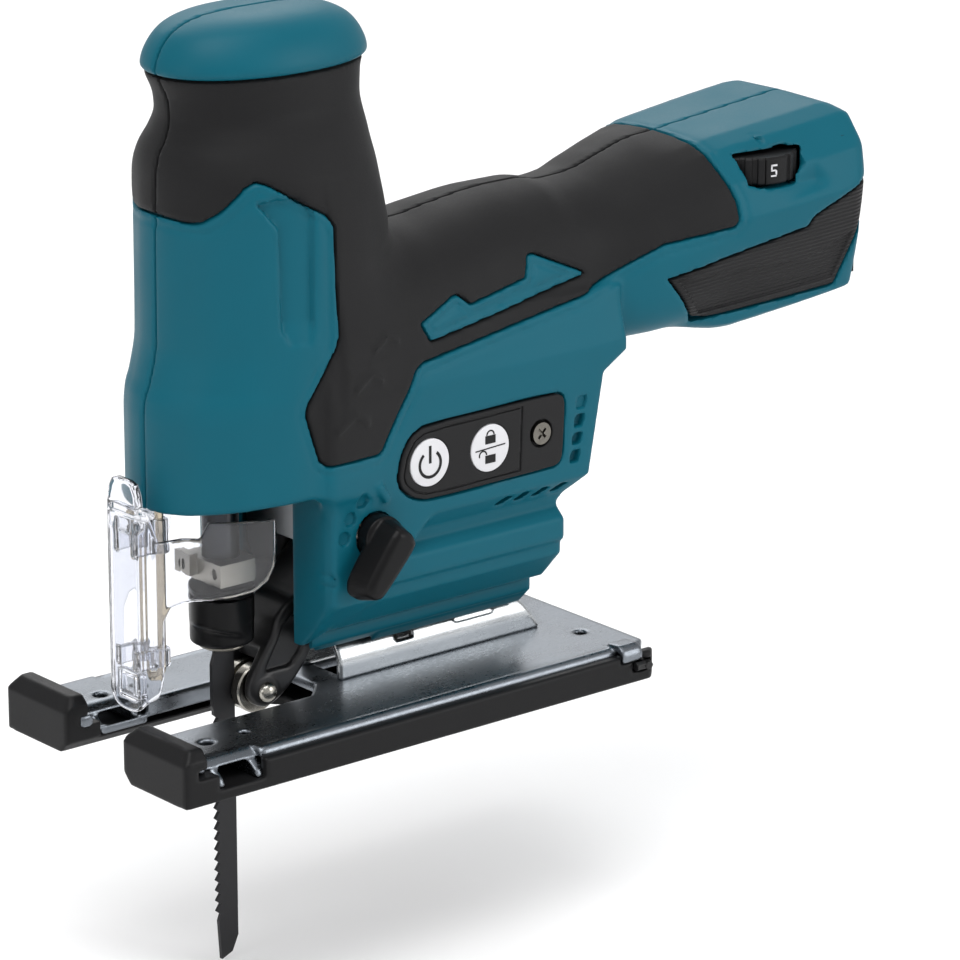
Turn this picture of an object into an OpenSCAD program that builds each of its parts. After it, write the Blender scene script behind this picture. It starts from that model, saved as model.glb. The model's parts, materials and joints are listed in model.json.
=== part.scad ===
// Barrel-grip battery jigsaw, bare tool with a wood blade fitted.
// +X is the battery end and -X the cutting direction, -Y is the user's left,
// +Z is up. The origin is where the blade axis leaves the sole.

/* [Barrel and cap] */
// Height of the palm cap crown above the sole
cap_top = 199; // [195:0.5:204]
// Height of the palm cap rim
cap_rim = 184.5; // [181:0.5:187]
// Length of the palm cap along the tool
cap_len = 64; // [60:0.5:70]
// Half width of the palm cap
cap_half = 22; // [21:0.5:26]
// Length of the neck below the cap
neck_len = 57.5; // [55:0.5:62]
// Half width of the neck
neck_half = 21.7; // [21:0.1:25]
// Half width of the barrel where the palm bulge is widest
barrel_half = 31; // [29.5:0.1:33]
// Foremost point of the barrel at the bulge
barrel_front = -20; // [-22:0.1:-19]
// Foremost point of the gear end below the bulge
nose_front = -25; // [-27:0.1:-24]
// Rearmost point of the barrel
barrel_rear = 49; // [47:0.5:53]

/* [Body and handle] */
// Half width of the motor body
body_half = 30; // [29.5:0.1:33]
// Rear face of the motor body at its foot
body_rear = 95; // [94:0.5:98]
// Wall of the moulded shells
wall = 2.6; // [2:0.1:3.2]
// Half width of the handle waist
waist_half = 24; // [22.5:0.1:27]
// Half width of the battery end
tail_half = 35; // [33:0.1:38]
// Rear face of the battery end
tail_rear = 206; // [202:0.5:215]
// Thickness of the soft grip skin where it covers a core
grip_t = 2; // [1.5:0.1:2.5]

/* [Base] */
// Half width of the sole
sole_half = 40.8; // [38:0.1:44]
// Foremost face of the bumpers
sole_front = -42.6; // [-46:0.1:-41]
// Rear edge of the sole
sole_rear = 121.2; // [118:0.1:135]
// Height of the plate's upper face above the sole
plate_top = 9.9; // [9:0.1:10.2]
// Sheet thickness of the base plate
plate_t = 2.6; // [2:0.1:3]
// Thickness of the plastic sole cover
cover_t = 3; // [2.5:0.1:3.5]
// Half width of the gap for the blade and bevel cuts
gap_half = 12.7; // [12:0.1:14]
// Height of the tilt axis above the sole
tilt_z = 13.5; // [13.2:0.1:13.8]
// Outer radius of the tilt bracket
bracket_r = 9.2; // [8.6:0.1:9.4]
// Sheet thickness of the tilt bracket
bracket_t = 2.2; // [1.8:0.1:2.4]
// Bore for the fence locking screws
fence_bore = 4.2; // [3.8:0.1:5]

/* [Drive] */
// Stroke of the blade
stroke = 26; // [20:1:26]
// Diameter of the plunger rod
rod_d = 10; // [9:0.1:10.8]
// Height of the motor axis
motor_z = 79; // [79:0.1:79.4]
// Module of the gears
gear_m = 0.75; // [0.75:0.01:0.76]
// Teeth of the crank gear
gear_teeth = 60; // [60:1:60]
// Teeth of the motor pinion
pinion_teeth = 12; // [12:1:12]
// Outer diameter of the stator
stator_d = 44; // [40:0.5:46]
// Length of the stator
stator_len = 24; // [18:0.5:26]
// Diameter of the cooling fan
fan_d = 45; // [38:0.5:47]

/* [Blade and guide] */
// Width of the blade body
blade_w = 7; // [6:0.1:8]
// Thickness of the blade
blade_t = 1.2; // [1:0.1:1.6]
// Depth of the blade tip below the sole
blade_tip = 65.3; // [50:0.5:110]
// Tooth pitch of the blade
tooth_pitch = 3; // [2:0.1:4]
// Diameter of the guide roller
roller_d = 14; // [12:0.1:14.4]
// Height of the roller axis
roller_z = 12; // [11.5:0.1:12.5]
// Diameter of the guide arm's pivot pin
arm_pin_d = 5; // [4:0.1:5.5]

/* [Controls] */
// Radius of the two switch buttons
button_r = 6.7; // [6:0.1:7]
// Travel of the switch buttons
button_travel = 0.8; // [0.5:0.1:1]
// Radius of the speed wheel
dial_r = 13; // [11.5:0.1:13.4]
// Radius of the lever's shaft
lever_shaft_r = 3.5; // [3:0.1:4]

/* [Guard] */
// Lift of the clear guard on its wires
guard_lift = 6; // [3:0.5:6]
// Wall of the clear guard
guard_t = 1.6; // [1.2:0.1:1.8]
// Diameter of the guard wires
wire_d = 2.5; // [2:0.1:2.8]

/* [Hidden] */
$fn = 64;
run_fit = 0.05;          // radial clearance of a running fit
free_gap = 0.3;          // gap between faces that pass each other
hull_fn = 32;
skin_eps = 0.02;         // thickness of a hull's end slice
far = 400;               // reach of a cutting half-space

gear_r = gear_m * gear_teeth / 2;
pinion_r = gear_m * pinion_teeth / 2;
gear_z = motor_z + gear_r + pinion_r;
gear_x0 = 14;            // front face of the crank gear
gear_w = 8;
crank_r = stroke / 2;
crank_roll_r = 4.4;
yoke_z = gear_z - crank_r;
yoke_half = 20;
yoke_face = gear_x0 - 5; // rear face of the yoke plate
slot_half_z = crank_roll_r + 0.2;
holder_z = 136;          // pivot height of the plunger holder
holder_half = 15;
bush_z0 = 79;            // lower bush, above the clamp at full stroke
bush_z1 = 85.4;
rail_in = 12;
arm_x = 24;              // pivot of the guide arm
arm_z = 36;
arm_half = 7.5;
arm_room = arm_half + 0.7;
frame_top = 145;         // upper edge of the cast wall, below the top screw
roller_w = 8;
groove = 1.5;
roller_x = blade_w / 2 + roller_d / 2 - groove + 0.06;
bolt_x = 56;
bracket_x0 = 33;
bracket_x1 = 104;
saddle_r = bracket_r + run_fit;
wire_x = -24;
wire_y = 4;
wire_top = 80;
wire_low = 26;
skirt_z = 72.5;
stator_x = 58;
fan_x = 86;
fan_len = body_rear - wall - fan_x - 0.4;
shaft_r = 3.5;
screw_x = 86.4;          // screw of the switch panel
screw_z = 75.2;
lever_x = 29;
lever_z = 58;
dial_x = 173.5;
dial_z = 135.2;
dial_y = -tail_half + 3.8 + dial_r;
rail_z0 = 100;
rail_z1 = 140;
rail_face = tail_rear - 4.6;   // face that the battery slides along

// ---- helpers ---------------------------------------------------------

// Upright oval slice, a ring of the barrel between two X values
module oval(z, x0, x1, half)
    translate([(x0 + x1) / 2, 0, z])
        scale([(x1 - x0) / 2, half, 1])
            cylinder(r = 1, h = skin_eps, $fn = hull_fn);

// Cross-section of the handle at one X: foot, crown and half width
module handle_slice(x, foot, crown, half) {
    h = crown - foot;
    outline = [
        [0.72, 0], [0.93, 0.12], [1, 0.5], [0.95, 0.68],
        [0.74, 0.87], [0.4, 0.97], [0, 1]
    ];
    right = [for (p = outline) [p[0] * half, foot + p[1] * h]];
    left = [for (i = [len(right) - 2 : -1 : 0]) [-right[i][0], right[i][1]]];
    translate([x, 0, 0]) rotate([90, 0, 90])
        linear_extrude(skin_eps) polygon(concat(right, left));
}

// Outline in the XZ plane carried through Y from y0 to y1
module slab(points, y0, y1)
    translate([0, y1, 0]) rotate([90, 0, 0])
        linear_extrude(y1 - y0) polygon(points);

// Outline in the YZ plane carried along X from x0 to x1
module bar_x(points, x0, x1)
    translate([x0, 0, 0]) rotate([90, 0, 90])
        linear_extrude(x1 - x0) polygon(points);

module box(x0, x1, y0, y1, z0, z1)
    translate([x0, y0, z0]) cube([x1 - x0, y1 - y0, z1 - z0]);

module rod_x(r, x0, x1, y, z)
    translate([x0, y, z]) rotate([0, 90, 0]) cylinder(r = r, h = x1 - x0);

module rod_y(r, y0, y1, x, z)
    translate([x, y1, z]) rotate([90, 0, 0]) cylinder(r = r, h = y1 - y0);

module rod_z(r, z0, z1, x, y)
    translate([x, y, z0]) cylinder(r = r, h = z1 - z0);

// Oblong column with round ends between two X values
module oblong(x0, x1, half, z0, z1) {
    for (x = [x0 + half, x1 - half]) rod_z(half, z0, z1, x, 0);
    box(x0 + half, x1 - half, -half, half, z0, z1);
}

// Keeps one side of the parting plane: -1 is left, 1 is right
module side(s) {
    intersection() {
        children();
        box(-far, far, s < 0 ? -far : 0, s < 0 ? 0 : far, -far, far);
    }
}

// ---- outer form ------------------------------------------------------

cap_x0 = -18.5;
neck_x0 = -14.3;
neck_z = 175;

module cap_form() hull() {
    oval(cap_rim, cap_x0, cap_x0 + cap_len, cap_half);
    oval(cap_rim + 2.5, cap_x0 - 0.4, cap_x0 + cap_len + 0.4, cap_half + 0.4);
    oval(cap_top - 6.5, cap_x0 + 3, cap_x0 + cap_len - 3, cap_half - 2.5);
    oval(cap_top - 2.2, cap_x0 + 13, cap_x0 + cap_len - 12, cap_half - 8);
    oval(cap_top - skin_eps, cap_x0 + 28, cap_x0 + cap_len - 26, cap_half - 16);
}

module neck_form() hull() {
    oval(neck_z, neck_x0, neck_x0 + neck_len, neck_half);
    oval(cap_rim - 1, cap_x0 + 0.8, cap_x0 + cap_len - 0.8, cap_half - 0.4);
    oval(cap_rim + 2, cap_x0 + 5, cap_x0 + cap_len - 5, cap_half - 4);
}

module bulge_form() hull() {
    oval(112, barrel_front - 0.7, barrel_rear, barrel_half - 0.4);
    oval(148, barrel_front, barrel_rear, barrel_half);
    oval(156, barrel_front + 0.6, barrel_rear - 3, barrel_half - 0.8);
    oval(neck_z, neck_x0, neck_x0 + neck_len, neck_half);
}

module nose_form() hull() {
    oval(skirt_z, nose_front, barrel_rear, body_half + 0.4);
    oval(93, nose_front, barrel_rear, body_half + 0.4);
    oval(112, barrel_front - 0.7, barrel_rear, barrel_half - 0.4);
}

module shoulder_form() hull() {
    handle_slice(38, 88, 134, body_half - 0.5);
    handle_slice(75, 90, 137.2, 27.5);
    handle_slice(111, 91, 137.2, waist_half);
}

module waist_form() hull() {
    handle_slice(111, 91, 137.2, waist_half);
    handle_slice(152, 92, 144.6, tail_half - 3);
}

module tail_form() hull() {
    handle_slice(152, 92, 144.6, tail_half - 3);
    handle_slice(tail_rear - 8, 95.5, 149.6, tail_half);
    handle_slice(tail_rear - skin_eps, 101, 144, tail_half - 1.5);
}

// Motor body: side outline meets the foot's slanted cross-section
module body_form() {
    shoe_half = body_half - 9;
    keel_half = body_half - 15;
    intersection() {
        slab([[16, 78], [17, 70], [17, 36], [14.5, 31], [14.5, 27], [17, 24.5],
              [body_rear, 26], [body_rear, 53], [body_rear + 9.5, 60],
              [body_rear + 14.7, 88], [body_rear + 20, 92.5],
              [body_rear + 20, 108], [16, 108]], -60, 60);
        bar_x([[-body_half + 4, 110], [-body_half, 95],
               [-body_half, tilt_z + body_half - 4],
               [-shoe_half, tilt_z + body_half - 13], [-keel_half, 24.5],
               [keel_half, 24.5], [shoe_half, tilt_z + body_half - 13],
               [body_half, tilt_z + body_half - 4], [body_half, 95],
               [body_half - 4, 110]], 0, far);
    }
}

module outer_form() {
    cap_form();
    neck_form();
    bulge_form();
    nose_form();
    shoulder_form();
    waist_form();
    tail_form();
    body_form();
}

grip_top = cap_rim - 0.4;

// Region of the side view that the soft grip covers, less the inlay
module grip_zone() {
    difference() {
        slab([[-60, 148.5], [-14, 150], [-4.5, 158.5], [15.5, 146.5],
              [17, 115], [6.5, 96], [11, 81], [30, 80], [45, 102],
              [106, 110], [118, 114.5], [133, 120], [157, 122], [157.8, 128],
              [157, 138], [153, 152], [153, 170], [80, 170],
              [70, grip_top], [-60, grip_top]], -60, 60);
        slab([[46.5, 112], [50, 106.5], [108.5, 114], [89.5, 123],
              [87, 117.3], [65, 114.2], [61, 117.5]], -60, 60);
    }
}

// Hard core under the grip skin
module grip_core() {
    oblong(barrel_front + grip_t + 1, barrel_rear - grip_t - 3,
           barrel_half - grip_t - 2, 76, 157);
    oblong(neck_x0 + grip_t, neck_x0 + neck_len - grip_t,
           neck_half - grip_t, 150, cap_rim + 3);
    bar_x([[-body_half + grip_t, 95], [-body_half + grip_t, 108],
           [-19, 126], [-9, 133], [9, 133], [19, 126],
           [body_half - grip_t, 108], [body_half - grip_t, 95]], 30, 70);
    bar_x([[-20, 93.5], [-waist_half + grip_t, 99], [-waist_half + grip_t, 115],
           [-17, 128], [-8, 134], [8, 134], [17, 128],
           [waist_half - grip_t, 115], [waist_half - grip_t, 99],
           [20, 93.5]], 60, 162);
}

// Space inside the shells
module housing_cavity() {
    w = wall;
    oblong(barrel_front + 6, barrel_rear - 6, barrel_half - grip_t - 2 - w,
           skirt_z - 6, 155);
    oblong(neck_x0 + grip_t + w, neck_x0 + neck_len - grip_t - w,
           neck_half - grip_t - w, 150, cap_rim + 5);
    // plunger bay under the barrel, open downwards
    oblong(nose_front + 3, barrel_rear - 4, body_half - w, skirt_z - 2, 81);
    bar_x([[-body_half + w, 103], [-body_half + w, 44],
           [-body_half + 12, 33], [-10, 28], [10, 28], [body_half - 12, 33],
           [body_half - w, 44], [body_half - w, 103]],
          17 + w, body_rear - w);
    box(body_rear - 12, body_rear + 6, -body_half + w, body_half - w, 64, 96);
    bar_x([[-waist_half + 6, 98], [-waist_half + 6, 118], [-10, 129],
           [10, 129], [waist_half - 6, 118], [waist_half - 6, 98]],
          40, 163);
    box(158, tail_rear + 10, -tail_half + 8, tail_half - 8, 104, 138);
    // open front face of the gear leg
    box(0, 17 + w + 1, -16, 16, 20, 90);
}

module guard_boss() box(nose_front + 0.6, nose_front + 6.5, -8, 8, skirt_z, 81);

module screw_points() {
    for (p = [[30, 150], [84, 127], [86, 46], [42, 46], [150, 134], [192, 100.5]])
        translate([p[0], 0, p[1]]) rotate([-90, 0, 0]) children();
}

panel_outline = [[36.4, 72], [38.3, 79], [41.5, 83.4], [46, 85.4], [92, 85.8],
                 [95, 84.3], [95.4, 82], [94.6, 67.5], [93.4, 65.2],
                 [91, 64.3], [47, 63.7], [41, 65.4], [37.4, 69]];

module panel_recess(depth)
    slab(panel_outline, -body_half - 3, -body_half + depth);

// Vent slots behind and below the switch panel, on both sides
module vent_slots() {
    for (s = [-1, 1]) {
        for (i = [0 : 3])
            box(99.6, 103.8, s * body_half - 4, s * body_half + 4,
                66.5 + i * 6.6, 70.5 + i * 6.6);
        for (i = [0 : 3])
            translate([66 + i * 7.4, s * body_half, 55.6])
                rotate([0, 20, 0]) cube([3.6, 8, 3.4], center = true);
    }
}

// The tilt bracket and base pass below the foot
module foot_clearance() {
    rod_x(saddle_r + 1.2, bracket_x0 - 3, body_rear + 20, 0, tilt_z);
    box(17, body_rear + 9, -6.4, 6.4, 18, 31);
    box(10, 32.8, -arm_room, arm_room, 18, 31);
}

module dial_pocket() {
    slab([[158.5, 141], [184.5, 143.6], [195.5, 136], [197, 130.2],
          [161.7, 124.2]], -60, -tail_half + 4.6);
    box(161.5, 182.5, -tail_half, -tail_half + 12, 130.6, 139.4);
    rod_z(dial_r + 0.6, dial_z - 4.6, dial_z + 4.6, dial_x, dial_y);
}

battery_cover = [[134.5, 109.5], [145.5, 95.3], [196, 99], [206, 126],
                 [206, 131.5], [183.5, 120.8], [181.5, 118.4]];

// One moulded half of the housing
module housing_half(s) {
    side(s) difference() {
        union() {
            difference() {
                outer_form();
                grip_zone();
            }
            intersection() {
                grip_core();
                box(-far, far, -far, far, 76, far);
            }
        }
        difference() {
            housing_cavity();
            guard_boss();
            // posts around the screws
            screw_points() cylinder(r = 4.2, h = 80, center = true);
            // seats that carry the bearing and the stator
            difference() {
                for (x = [stator_x + 2, stator_x + stator_len - 6, fan_x + 8.5])
                    box(x, x + 3, -28, 28, 40, 104);
                rod_x(stator_d / 2 + run_fit, stator_x - 4, fan_x + 2, 0, motor_z);
                rod_x(9.5 + run_fit, fan_x, fan_x + 20, 0, motor_z);
                box(0, 90, -16, 16, 40, 56);
            }
        }
        screw_points() cylinder(r = 1.6, h = 60, center = true);
        screw_points() translate([0, 0, 10]) cylinder(r = 3.6, h = 60);
        panel_recess(2.2);
        box(40.2, 76, -body_half - 1, -body_half + 5, 67.5, 81.5);
        vent_slots();
        foot_clearance();
        dial_pocket();
        for (m = [-1, 1])
            slab(battery_cover, m < 0 ? -60 : tail_half - 3.8,
                 m < 0 ? -tail_half + 3.8 : 60);
        rod_y(lever_shaft_r + run_fit, -40, -20, lever_x, lever_z);
        if (s < 0) rod_y(1.6, -40, -26, screw_x, screw_z);
        for (y = [-wire_y, wire_y])
            rod_z(wire_d / 2, skirt_z - 5, wire_top + 0.2, wire_x + 1, y);
        box(rail_face - 3, tail_rear + 5, -29, 29, rail_z0 - 30, rail_z1 + 1);
        // lamp seat in the front wall of the gear leg
        rod_x(3.1, 15, 21, 22, 62);
    }
}

module grip_half(s) {
    side(s) difference() {
        intersection() {
            union() {
                neck_form();
                bulge_form();
                nose_form();
                shoulder_form();
                waist_form();
                tail_form();
                body_form();
            }
            grip_zone();
        }
        grip_core();
        housing_cavity();
        screw_points() cylinder(r = 4.2, h = 36, center = true);
        screw_points() translate([0, 0, 10]) cylinder(r = 3.6, h = 60);
    }
}

module housing_left() { color("#1c7487") housing_half(-1); }

module housing_right() { color("#1c7487") housing_half(1); }

module grip_left() { color("#2f3033") grip_half(-1); }

module grip_right() { color("#2f3033") grip_half(1); }

module battery_guard(s) {
    intersection() {
        tail_form();
        slab(battery_cover, s < 0 ? -60 : tail_half - 3.8,
             s < 0 ? -tail_half + 3.8 : 60);
    }
}

module battery_guard_left() { color("#35363a") battery_guard(-1); }

module battery_guard_right() { color("#35363a") battery_guard(1); }

// ---- battery end -----------------------------------------------------

// Block with two undercut rails that a battery slides down onto
module battery_mount() {
    color("#26272a") difference() {
        union() {
            box(rail_face - 3, rail_face, -28.8, 28.8, rail_z0 - 1.8, rail_z1 + 0.8);
            box(rail_face - 11, rail_face - 3, -16, 16, 104.5, 134);
            for (s = [-1, 1]) {
                box(rail_face, rail_face + 3.5, s * 22.5 - 2.5, s * 22.5 + 2.5,
                    rail_z0, rail_z1);
                box(rail_face + 1.9, rail_face + 3.5, s * 25.2 - 3, s * 25.2 + 3,
                    rail_z0, rail_z1);
            }
        }
        for (y = [-9, 0, 9])
            box(rail_face - 11.5, rail_face + 1, y - 0.5, y + 0.5, 108, 124);
    }
}

module terminal_contacts() {
    color("#c9a14a") for (y = [-9, 0, 9])
        box(rail_face - 17, rail_face + 3, y - 0.4, y + 0.4, 109, 122);
}

module battery_leads() {
    color("#b3261e") for (y = [-9, 9]) {
        rod_x(1.4, 138, rail_face - 17, y, 112);
    }
}

module control_box() {
    color("#3c3f44") difference() {
        box(104, 138, -14, 14, 101, 122);
        for (x = [108 : 5 : 133]) box(x, x + 2, -15, 15, 118, 123);
    }
}

// ---- controls --------------------------------------------------------

module switch_panel() {
    color("#2b2c2f") difference() {
        slab([for (p = panel_outline)
                [66 + (p[0] - 66) * 0.993, 75 + (p[1] - 75) * 0.985]],
             -body_half - 1, -body_half + 2.1);
        for (x = [47.3, 68.2])
            rod_y(button_r + run_fit, -40, -20, x, 74.6);
        rod_y(3.9, -40, -body_half + 0.8, screw_x, screw_z);
        rod_y(1.6, -40, -20, screw_x, screw_z);
    }
}

module panel_screw() {
    color("#6f7276") difference() {
        union() {
            rod_y(3.1, -body_half - 0.9, -body_half + 0.75, screw_x, screw_z);
            rod_y(1.5, -body_half + 0.7, -body_half + 7, screw_x, screw_z);
        }
        for (a = [45, 135])
            translate([screw_x, -body_half - 0.9, screw_z]) rotate([0, a, 0])
                cube([3.6, 1.8, 0.8], center = true);
    }
}

module switch_board() {
    color("#2f6b3a") box(43, 75, -body_half + 3.4, -body_half + 4.9, 68, 81);
}

module button(x) {
    rod_y(button_r, -body_half - 1, -body_half + 2, x, 74.6);
    rod_y(1.2, -body_half + 1.9, -body_half + 2.5, x, 74.6);
}

module power_button() { color("#e9eaec") button(47.3); }

module lock_button() { color("#e9eaec") button(68.2); }

module dial_holder() {
    color("#3c3f44") difference() {
        box(dial_x - 6, dial_x + 6, dial_y - 4, dial_y + 4, dial_z - 12, dial_z - 5);
        rod_z(1.5 + run_fit, 100, 150, dial_x, dial_y);
    }
}

// Speed wheel: it turns about an upright axis and shows in the window
module speed_dial() {
    color("#232427") difference() {
        union() {
            rod_z(dial_r, dial_z - 3.9, dial_z + 3.9, dial_x, dial_y);
            rod_z(1.5, dial_z - 11, dial_z - 3.8, dial_x, dial_y);
        }
        for (a = [0 : 15 : 345])
            translate([dial_x, dial_y, dial_z]) rotate([0, 0, a + 7.5])
                translate([dial_r, 0, 0]) cube([1, 0.9, 20], center = true);
    }
}

module lever_shaft() {
    color("#9a9da1") difference() {
        rod_y(lever_shaft_r, -34, -15, lever_x, lever_z);
        box(lever_x - 5, lever_x + 5, -18, -14, lever_z - 8, lever_z - 1.2);
    }
}

// Cutting-action lever, set at its lowest position
module orbit_lever() {
    color("#1f2023") difference() {
        hull() {
            rod_y(7.2, -41.5, -body_half - free_gap, lever_x + 1.5, lever_z + 0.5, $fn = 32);
            rod_y(6.2, -42.6, -body_half - free_gap, lever_x + 1.5, lever_z + 0.5, $fn = 32);
            translate([0, -41.5, 0]) rod_y(1.6, 0, 11.2, 10.6, 50.5, $fn = 32);
            translate([0, -41.5, 0]) rod_y(1.6, 0, 11.2, 24, 43.6, $fn = 32);
        }
        rod_y(lever_shaft_r, -34, -20, lever_x, lever_z);
    }
}

// ---- motor -----------------------------------------------------------

module motor_stator() {
    color("#8b8f94") difference() {
        rod_x(stator_d / 2, stator_x, stator_x + stator_len, 0, motor_z);
        rod_x(13.2, stator_x - 1, stator_x + stator_len + 1, 0, motor_z);
        for (a = [0 : 60 : 300])
            translate([0, 0, motor_z]) rotate([a, 0, 0])
                box(stator_x - 1, stator_x + stator_len + 1, -2.6, 2.6, 12.8, 17.6);
    }
}

module stator_coils() {
    color("#b06a34") for (a = [0 : 60 : 300])
        translate([0, 0, motor_z]) rotate([a, 0, 0])
            box(stator_x - 2.6, stator_x + stator_len + 2.6, -2.5, 2.5, 13.9, 17.4);
}

module bearing(x0, w, outer, inner) {
    difference() {
        rod_x(outer, x0, x0 + w, 0, motor_z);
        rod_x(inner, x0 - 1, x0 + w + 1, 0, motor_z);
    }
}

module front_bearing() { color("#b9bcc0") bearing(25, 5, 9.5, shaft_r + run_fit); }

module rear_bearing() { color("#b9bcc0") bearing(fan_x + 9, 2.4, 9.5, 2.5 + run_fit); }

module rotor_core() {
    color("#5d6064") difference() {
        rod_x(12.7, stator_x, stator_x + stator_len, 0, motor_z);
        rod_x(shaft_r, stator_x - 1, stator_x + stator_len + 1, 0, motor_z);
    }
}

// Half angle of a gear tooth at radius r, in degrees, with backlash b
function involute(rb, r) = r <= rb ? 0 : tan(acos(rb / r)) * 180 / PI - acos(rb / r);
function tooth_half(z, m, b, r) =
    let (rp = z * m / 2, rb = rp * cos(20))
    90 / z - b / rp * 90 / PI + involute(rb, rp) - involute(rb, r);

module gear_outline(z, m, add, ded, b) {
    rp = z * m / 2;
    rb = rp * cos(20);
    root = rp - ded;
    mid = max(rb, root) + 0.02;
    tip = rp + add;
    radii = [root, mid, rp, tip];
    polygon([for (t = [0 : z - 1]) each concat(
        [for (r = radii) let (a = t * 360 / z - tooth_half(z, m, b, max(r, mid)))
            [r * cos(a), r * sin(a)]],
        [for (i = [3 : -1 : 0]) let (r = radii[i],
            a = t * 360 / z + tooth_half(z, m, b, max(r, mid)))
            [r * cos(a), r * sin(a)]])]);
}

// Rotor shaft with the pinion cut on its front end; a tooth gap faces up
module rotor_shaft() {
    color("#a9acb0") {
        translate([gear_x0, 0, motor_z]) rotate([90, 0, 90])
            linear_extrude(gear_w)
                rotate(90 + 180 / pinion_teeth)
                    gear_outline(pinion_teeth, gear_m, 0.6, 0.85, 0.06);
        rod_x(shaft_r, gear_x0 + gear_w - 0.01, fan_x + 7.5, 0, motor_z);
        rod_x(2.5, fan_x + 7.4, fan_x + 12.5, 0, motor_z);
    }
}

module cooling_fan() {
    color("#3a3c40") difference() {
        union() {
            rod_x(fan_d / 2 - 1, fan_x, fan_x + 1.6, 0, motor_z);
            rod_x(7, fan_x, fan_x + fan_len, 0, motor_z);
            for (a = [0 : 24 : 336])
                translate([0, 0, motor_z]) rotate([a, 0, 0])
                    box(fan_x + 1.5, fan_x + fan_len, -0.5, 0.5, 6.5, fan_d / 2 - 1.3);
        }
        rod_x(shaft_r, fan_x - 1, fan_x + fan_len + 1, 0, motor_z);
    }
}

// ---- drive train -----------------------------------------------------

module gear_axle() { color("#a9acb0") rod_x(4, gear_x0 + 0.6, 30, 0, gear_z); }

// Crank gear; a tooth faces straight down to the pinion at rest
module crank_gear() {
    color("#85888c") difference() {
        translate([gear_x0, 0, gear_z]) rotate([90, 0, 90])
            linear_extrude(gear_w) rotate(-90)
                gear_outline(gear_teeth, gear_m, 0.6, 0.85, 0.06);
        rod_x(4 + run_fit, gear_x0 - 1, gear_x0 + gear_w + 1, 0, gear_z);
        difference() {
            rod_x(18.5, gear_x0 + 5, gear_x0 + gear_w + 1, 0, gear_z);
            rod_x(7.5, gear_x0, gear_x0 + gear_w + 2, 0, gear_z);
        }
        rod_x(2.4, gear_x0 - 1, gear_x0 + gear_w + 1, 0, gear_z - crank_r);
    }
}

// Crank pin with its roller, on the gear's front face
module crank_roller() {
    color("#c5c8cc") {
        rod_x(2.4, gear_x0 - 0.1, gear_x0 + 4.9, 0, gear_z - crank_r);
        rod_x(crank_roll_r, yoke_face + 0.4, gear_x0 - 0.1, 0, gear_z - crank_r);
    }
}

// Aluminium frame that carries the drive, the guide arm and the base
module gear_housing() {
    color("#b4b7ba") difference() {
        union() {
            bar_x([[-11, 31], [-21, 45], [-21, frame_top], [21, frame_top],
                   [21, 45], [11, 31]], 24.5, 30);
            box(33, body_rear - 3, -7, 7, 29, 36);
            box(24.5, 39, -11, 11, 31, 36);
            bar_x([[-6, 30], [-6, tilt_z + 7.6], [6, tilt_z + 7.6], [6, 30]],
                  bracket_x0 + 1, body_rear - 3);
            for (s = [-1, 1]) {
                box(18, 25, s * 11 - 2.2, s * 11 + 2.2, 30, 42);
                box(-5, 25, s * 17.3 - 1.6, s * 17.3 + 1.6, holder_z - 6, holder_z + 8);
            }
        }
        rod_x(saddle_r, 20, far, 0, tilt_z);
        rod_x(9.5 + run_fit, 24, 31, 0, motor_z);
        rod_x(4, 24, 31, 0, gear_z);
        rod_y(arm_pin_d / 2, -20, 20, arm_x, arm_z);
        rod_y(2.5, -30, 30, 0, holder_z);
        rod_z(2.1, 10, 34, bolt_x, 0);
        rod_y(lever_shaft_r + 0.5, -30, -10, lever_x, lever_z);
        // window for the guide arm's tail
        box(24, 32.8, -arm_room, arm_room, 25, 50);
        for (z = [60, 125]) for (y = [-14, 14]) rod_x(3, 20, 35, y, z);
    }
}

module holder_pins() {
    color("#a9acb0") for (s = [-1, 1])
        rod_y(2.5, s < 0 ? -18.9 : 10, s < 0 ? -10 : 18.9, 0, holder_z);
}

// Swinging frame that carries the two plunger bushes
module plunger_holder() {
    color("#8f9296") difference() {
        union() {
            box(-8.5, 8.5, -holder_half, holder_half, 130, 143);
            box(-8.1, 8.5, -holder_half, holder_half, bush_z0, bush_z1);
            for (s = [-1, 1])
                box(-6, 1, s < 0 ? -holder_half : rail_in, s < 0 ? -rail_in : holder_half,
                    bush_z0 + 1, 131);
        }
        rod_z(7.2, 70, 150, 0, 0);
        rod_y(2.5 + run_fit, -20, 20, 0, holder_z);
    }
}

module plunger_bushes() {
    color("#b98d4f") for (z = [[bush_z0, bush_z1], [130, 134], [138, 143]])
        difference() {
            rod_z(7.2, z[0], z[1], 0, 0);
            rod_z(rod_d / 2 + run_fit, z[0] - 1, z[1] + 1, 0, 0);
        }
}

module plunger_rod() {
    color("#55585c") difference() {
        rod_z(rod_d / 2, 44.2, 147, 0, 0);
        box(-2.2, 2.2, -0.8, 0.8, 40, 58);
    }
}

// Cross-slotted yoke; the crank roller runs just behind its slot face
module drive_yoke() {
    color("#9a9da1") difference() {
        union() {
            rod_z(8.3, yoke_z - 7, yoke_z + 7, 0, 0);
            box(5.6, yoke_face, -yoke_half, yoke_half, yoke_z - 7, yoke_z + 7);
        }
        rod_z(rod_d / 2, yoke_z - 10, yoke_z + 10, 0, 0);
        box(7.4, yoke_face + 1, -crank_r - crank_roll_r, crank_r + crank_roll_r,
            yoke_z - slot_half_z, yoke_z + slot_half_z);
        box(-10, -5.8, -10, 10, yoke_z - 8, yoke_z + 8);
    }
}

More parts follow.
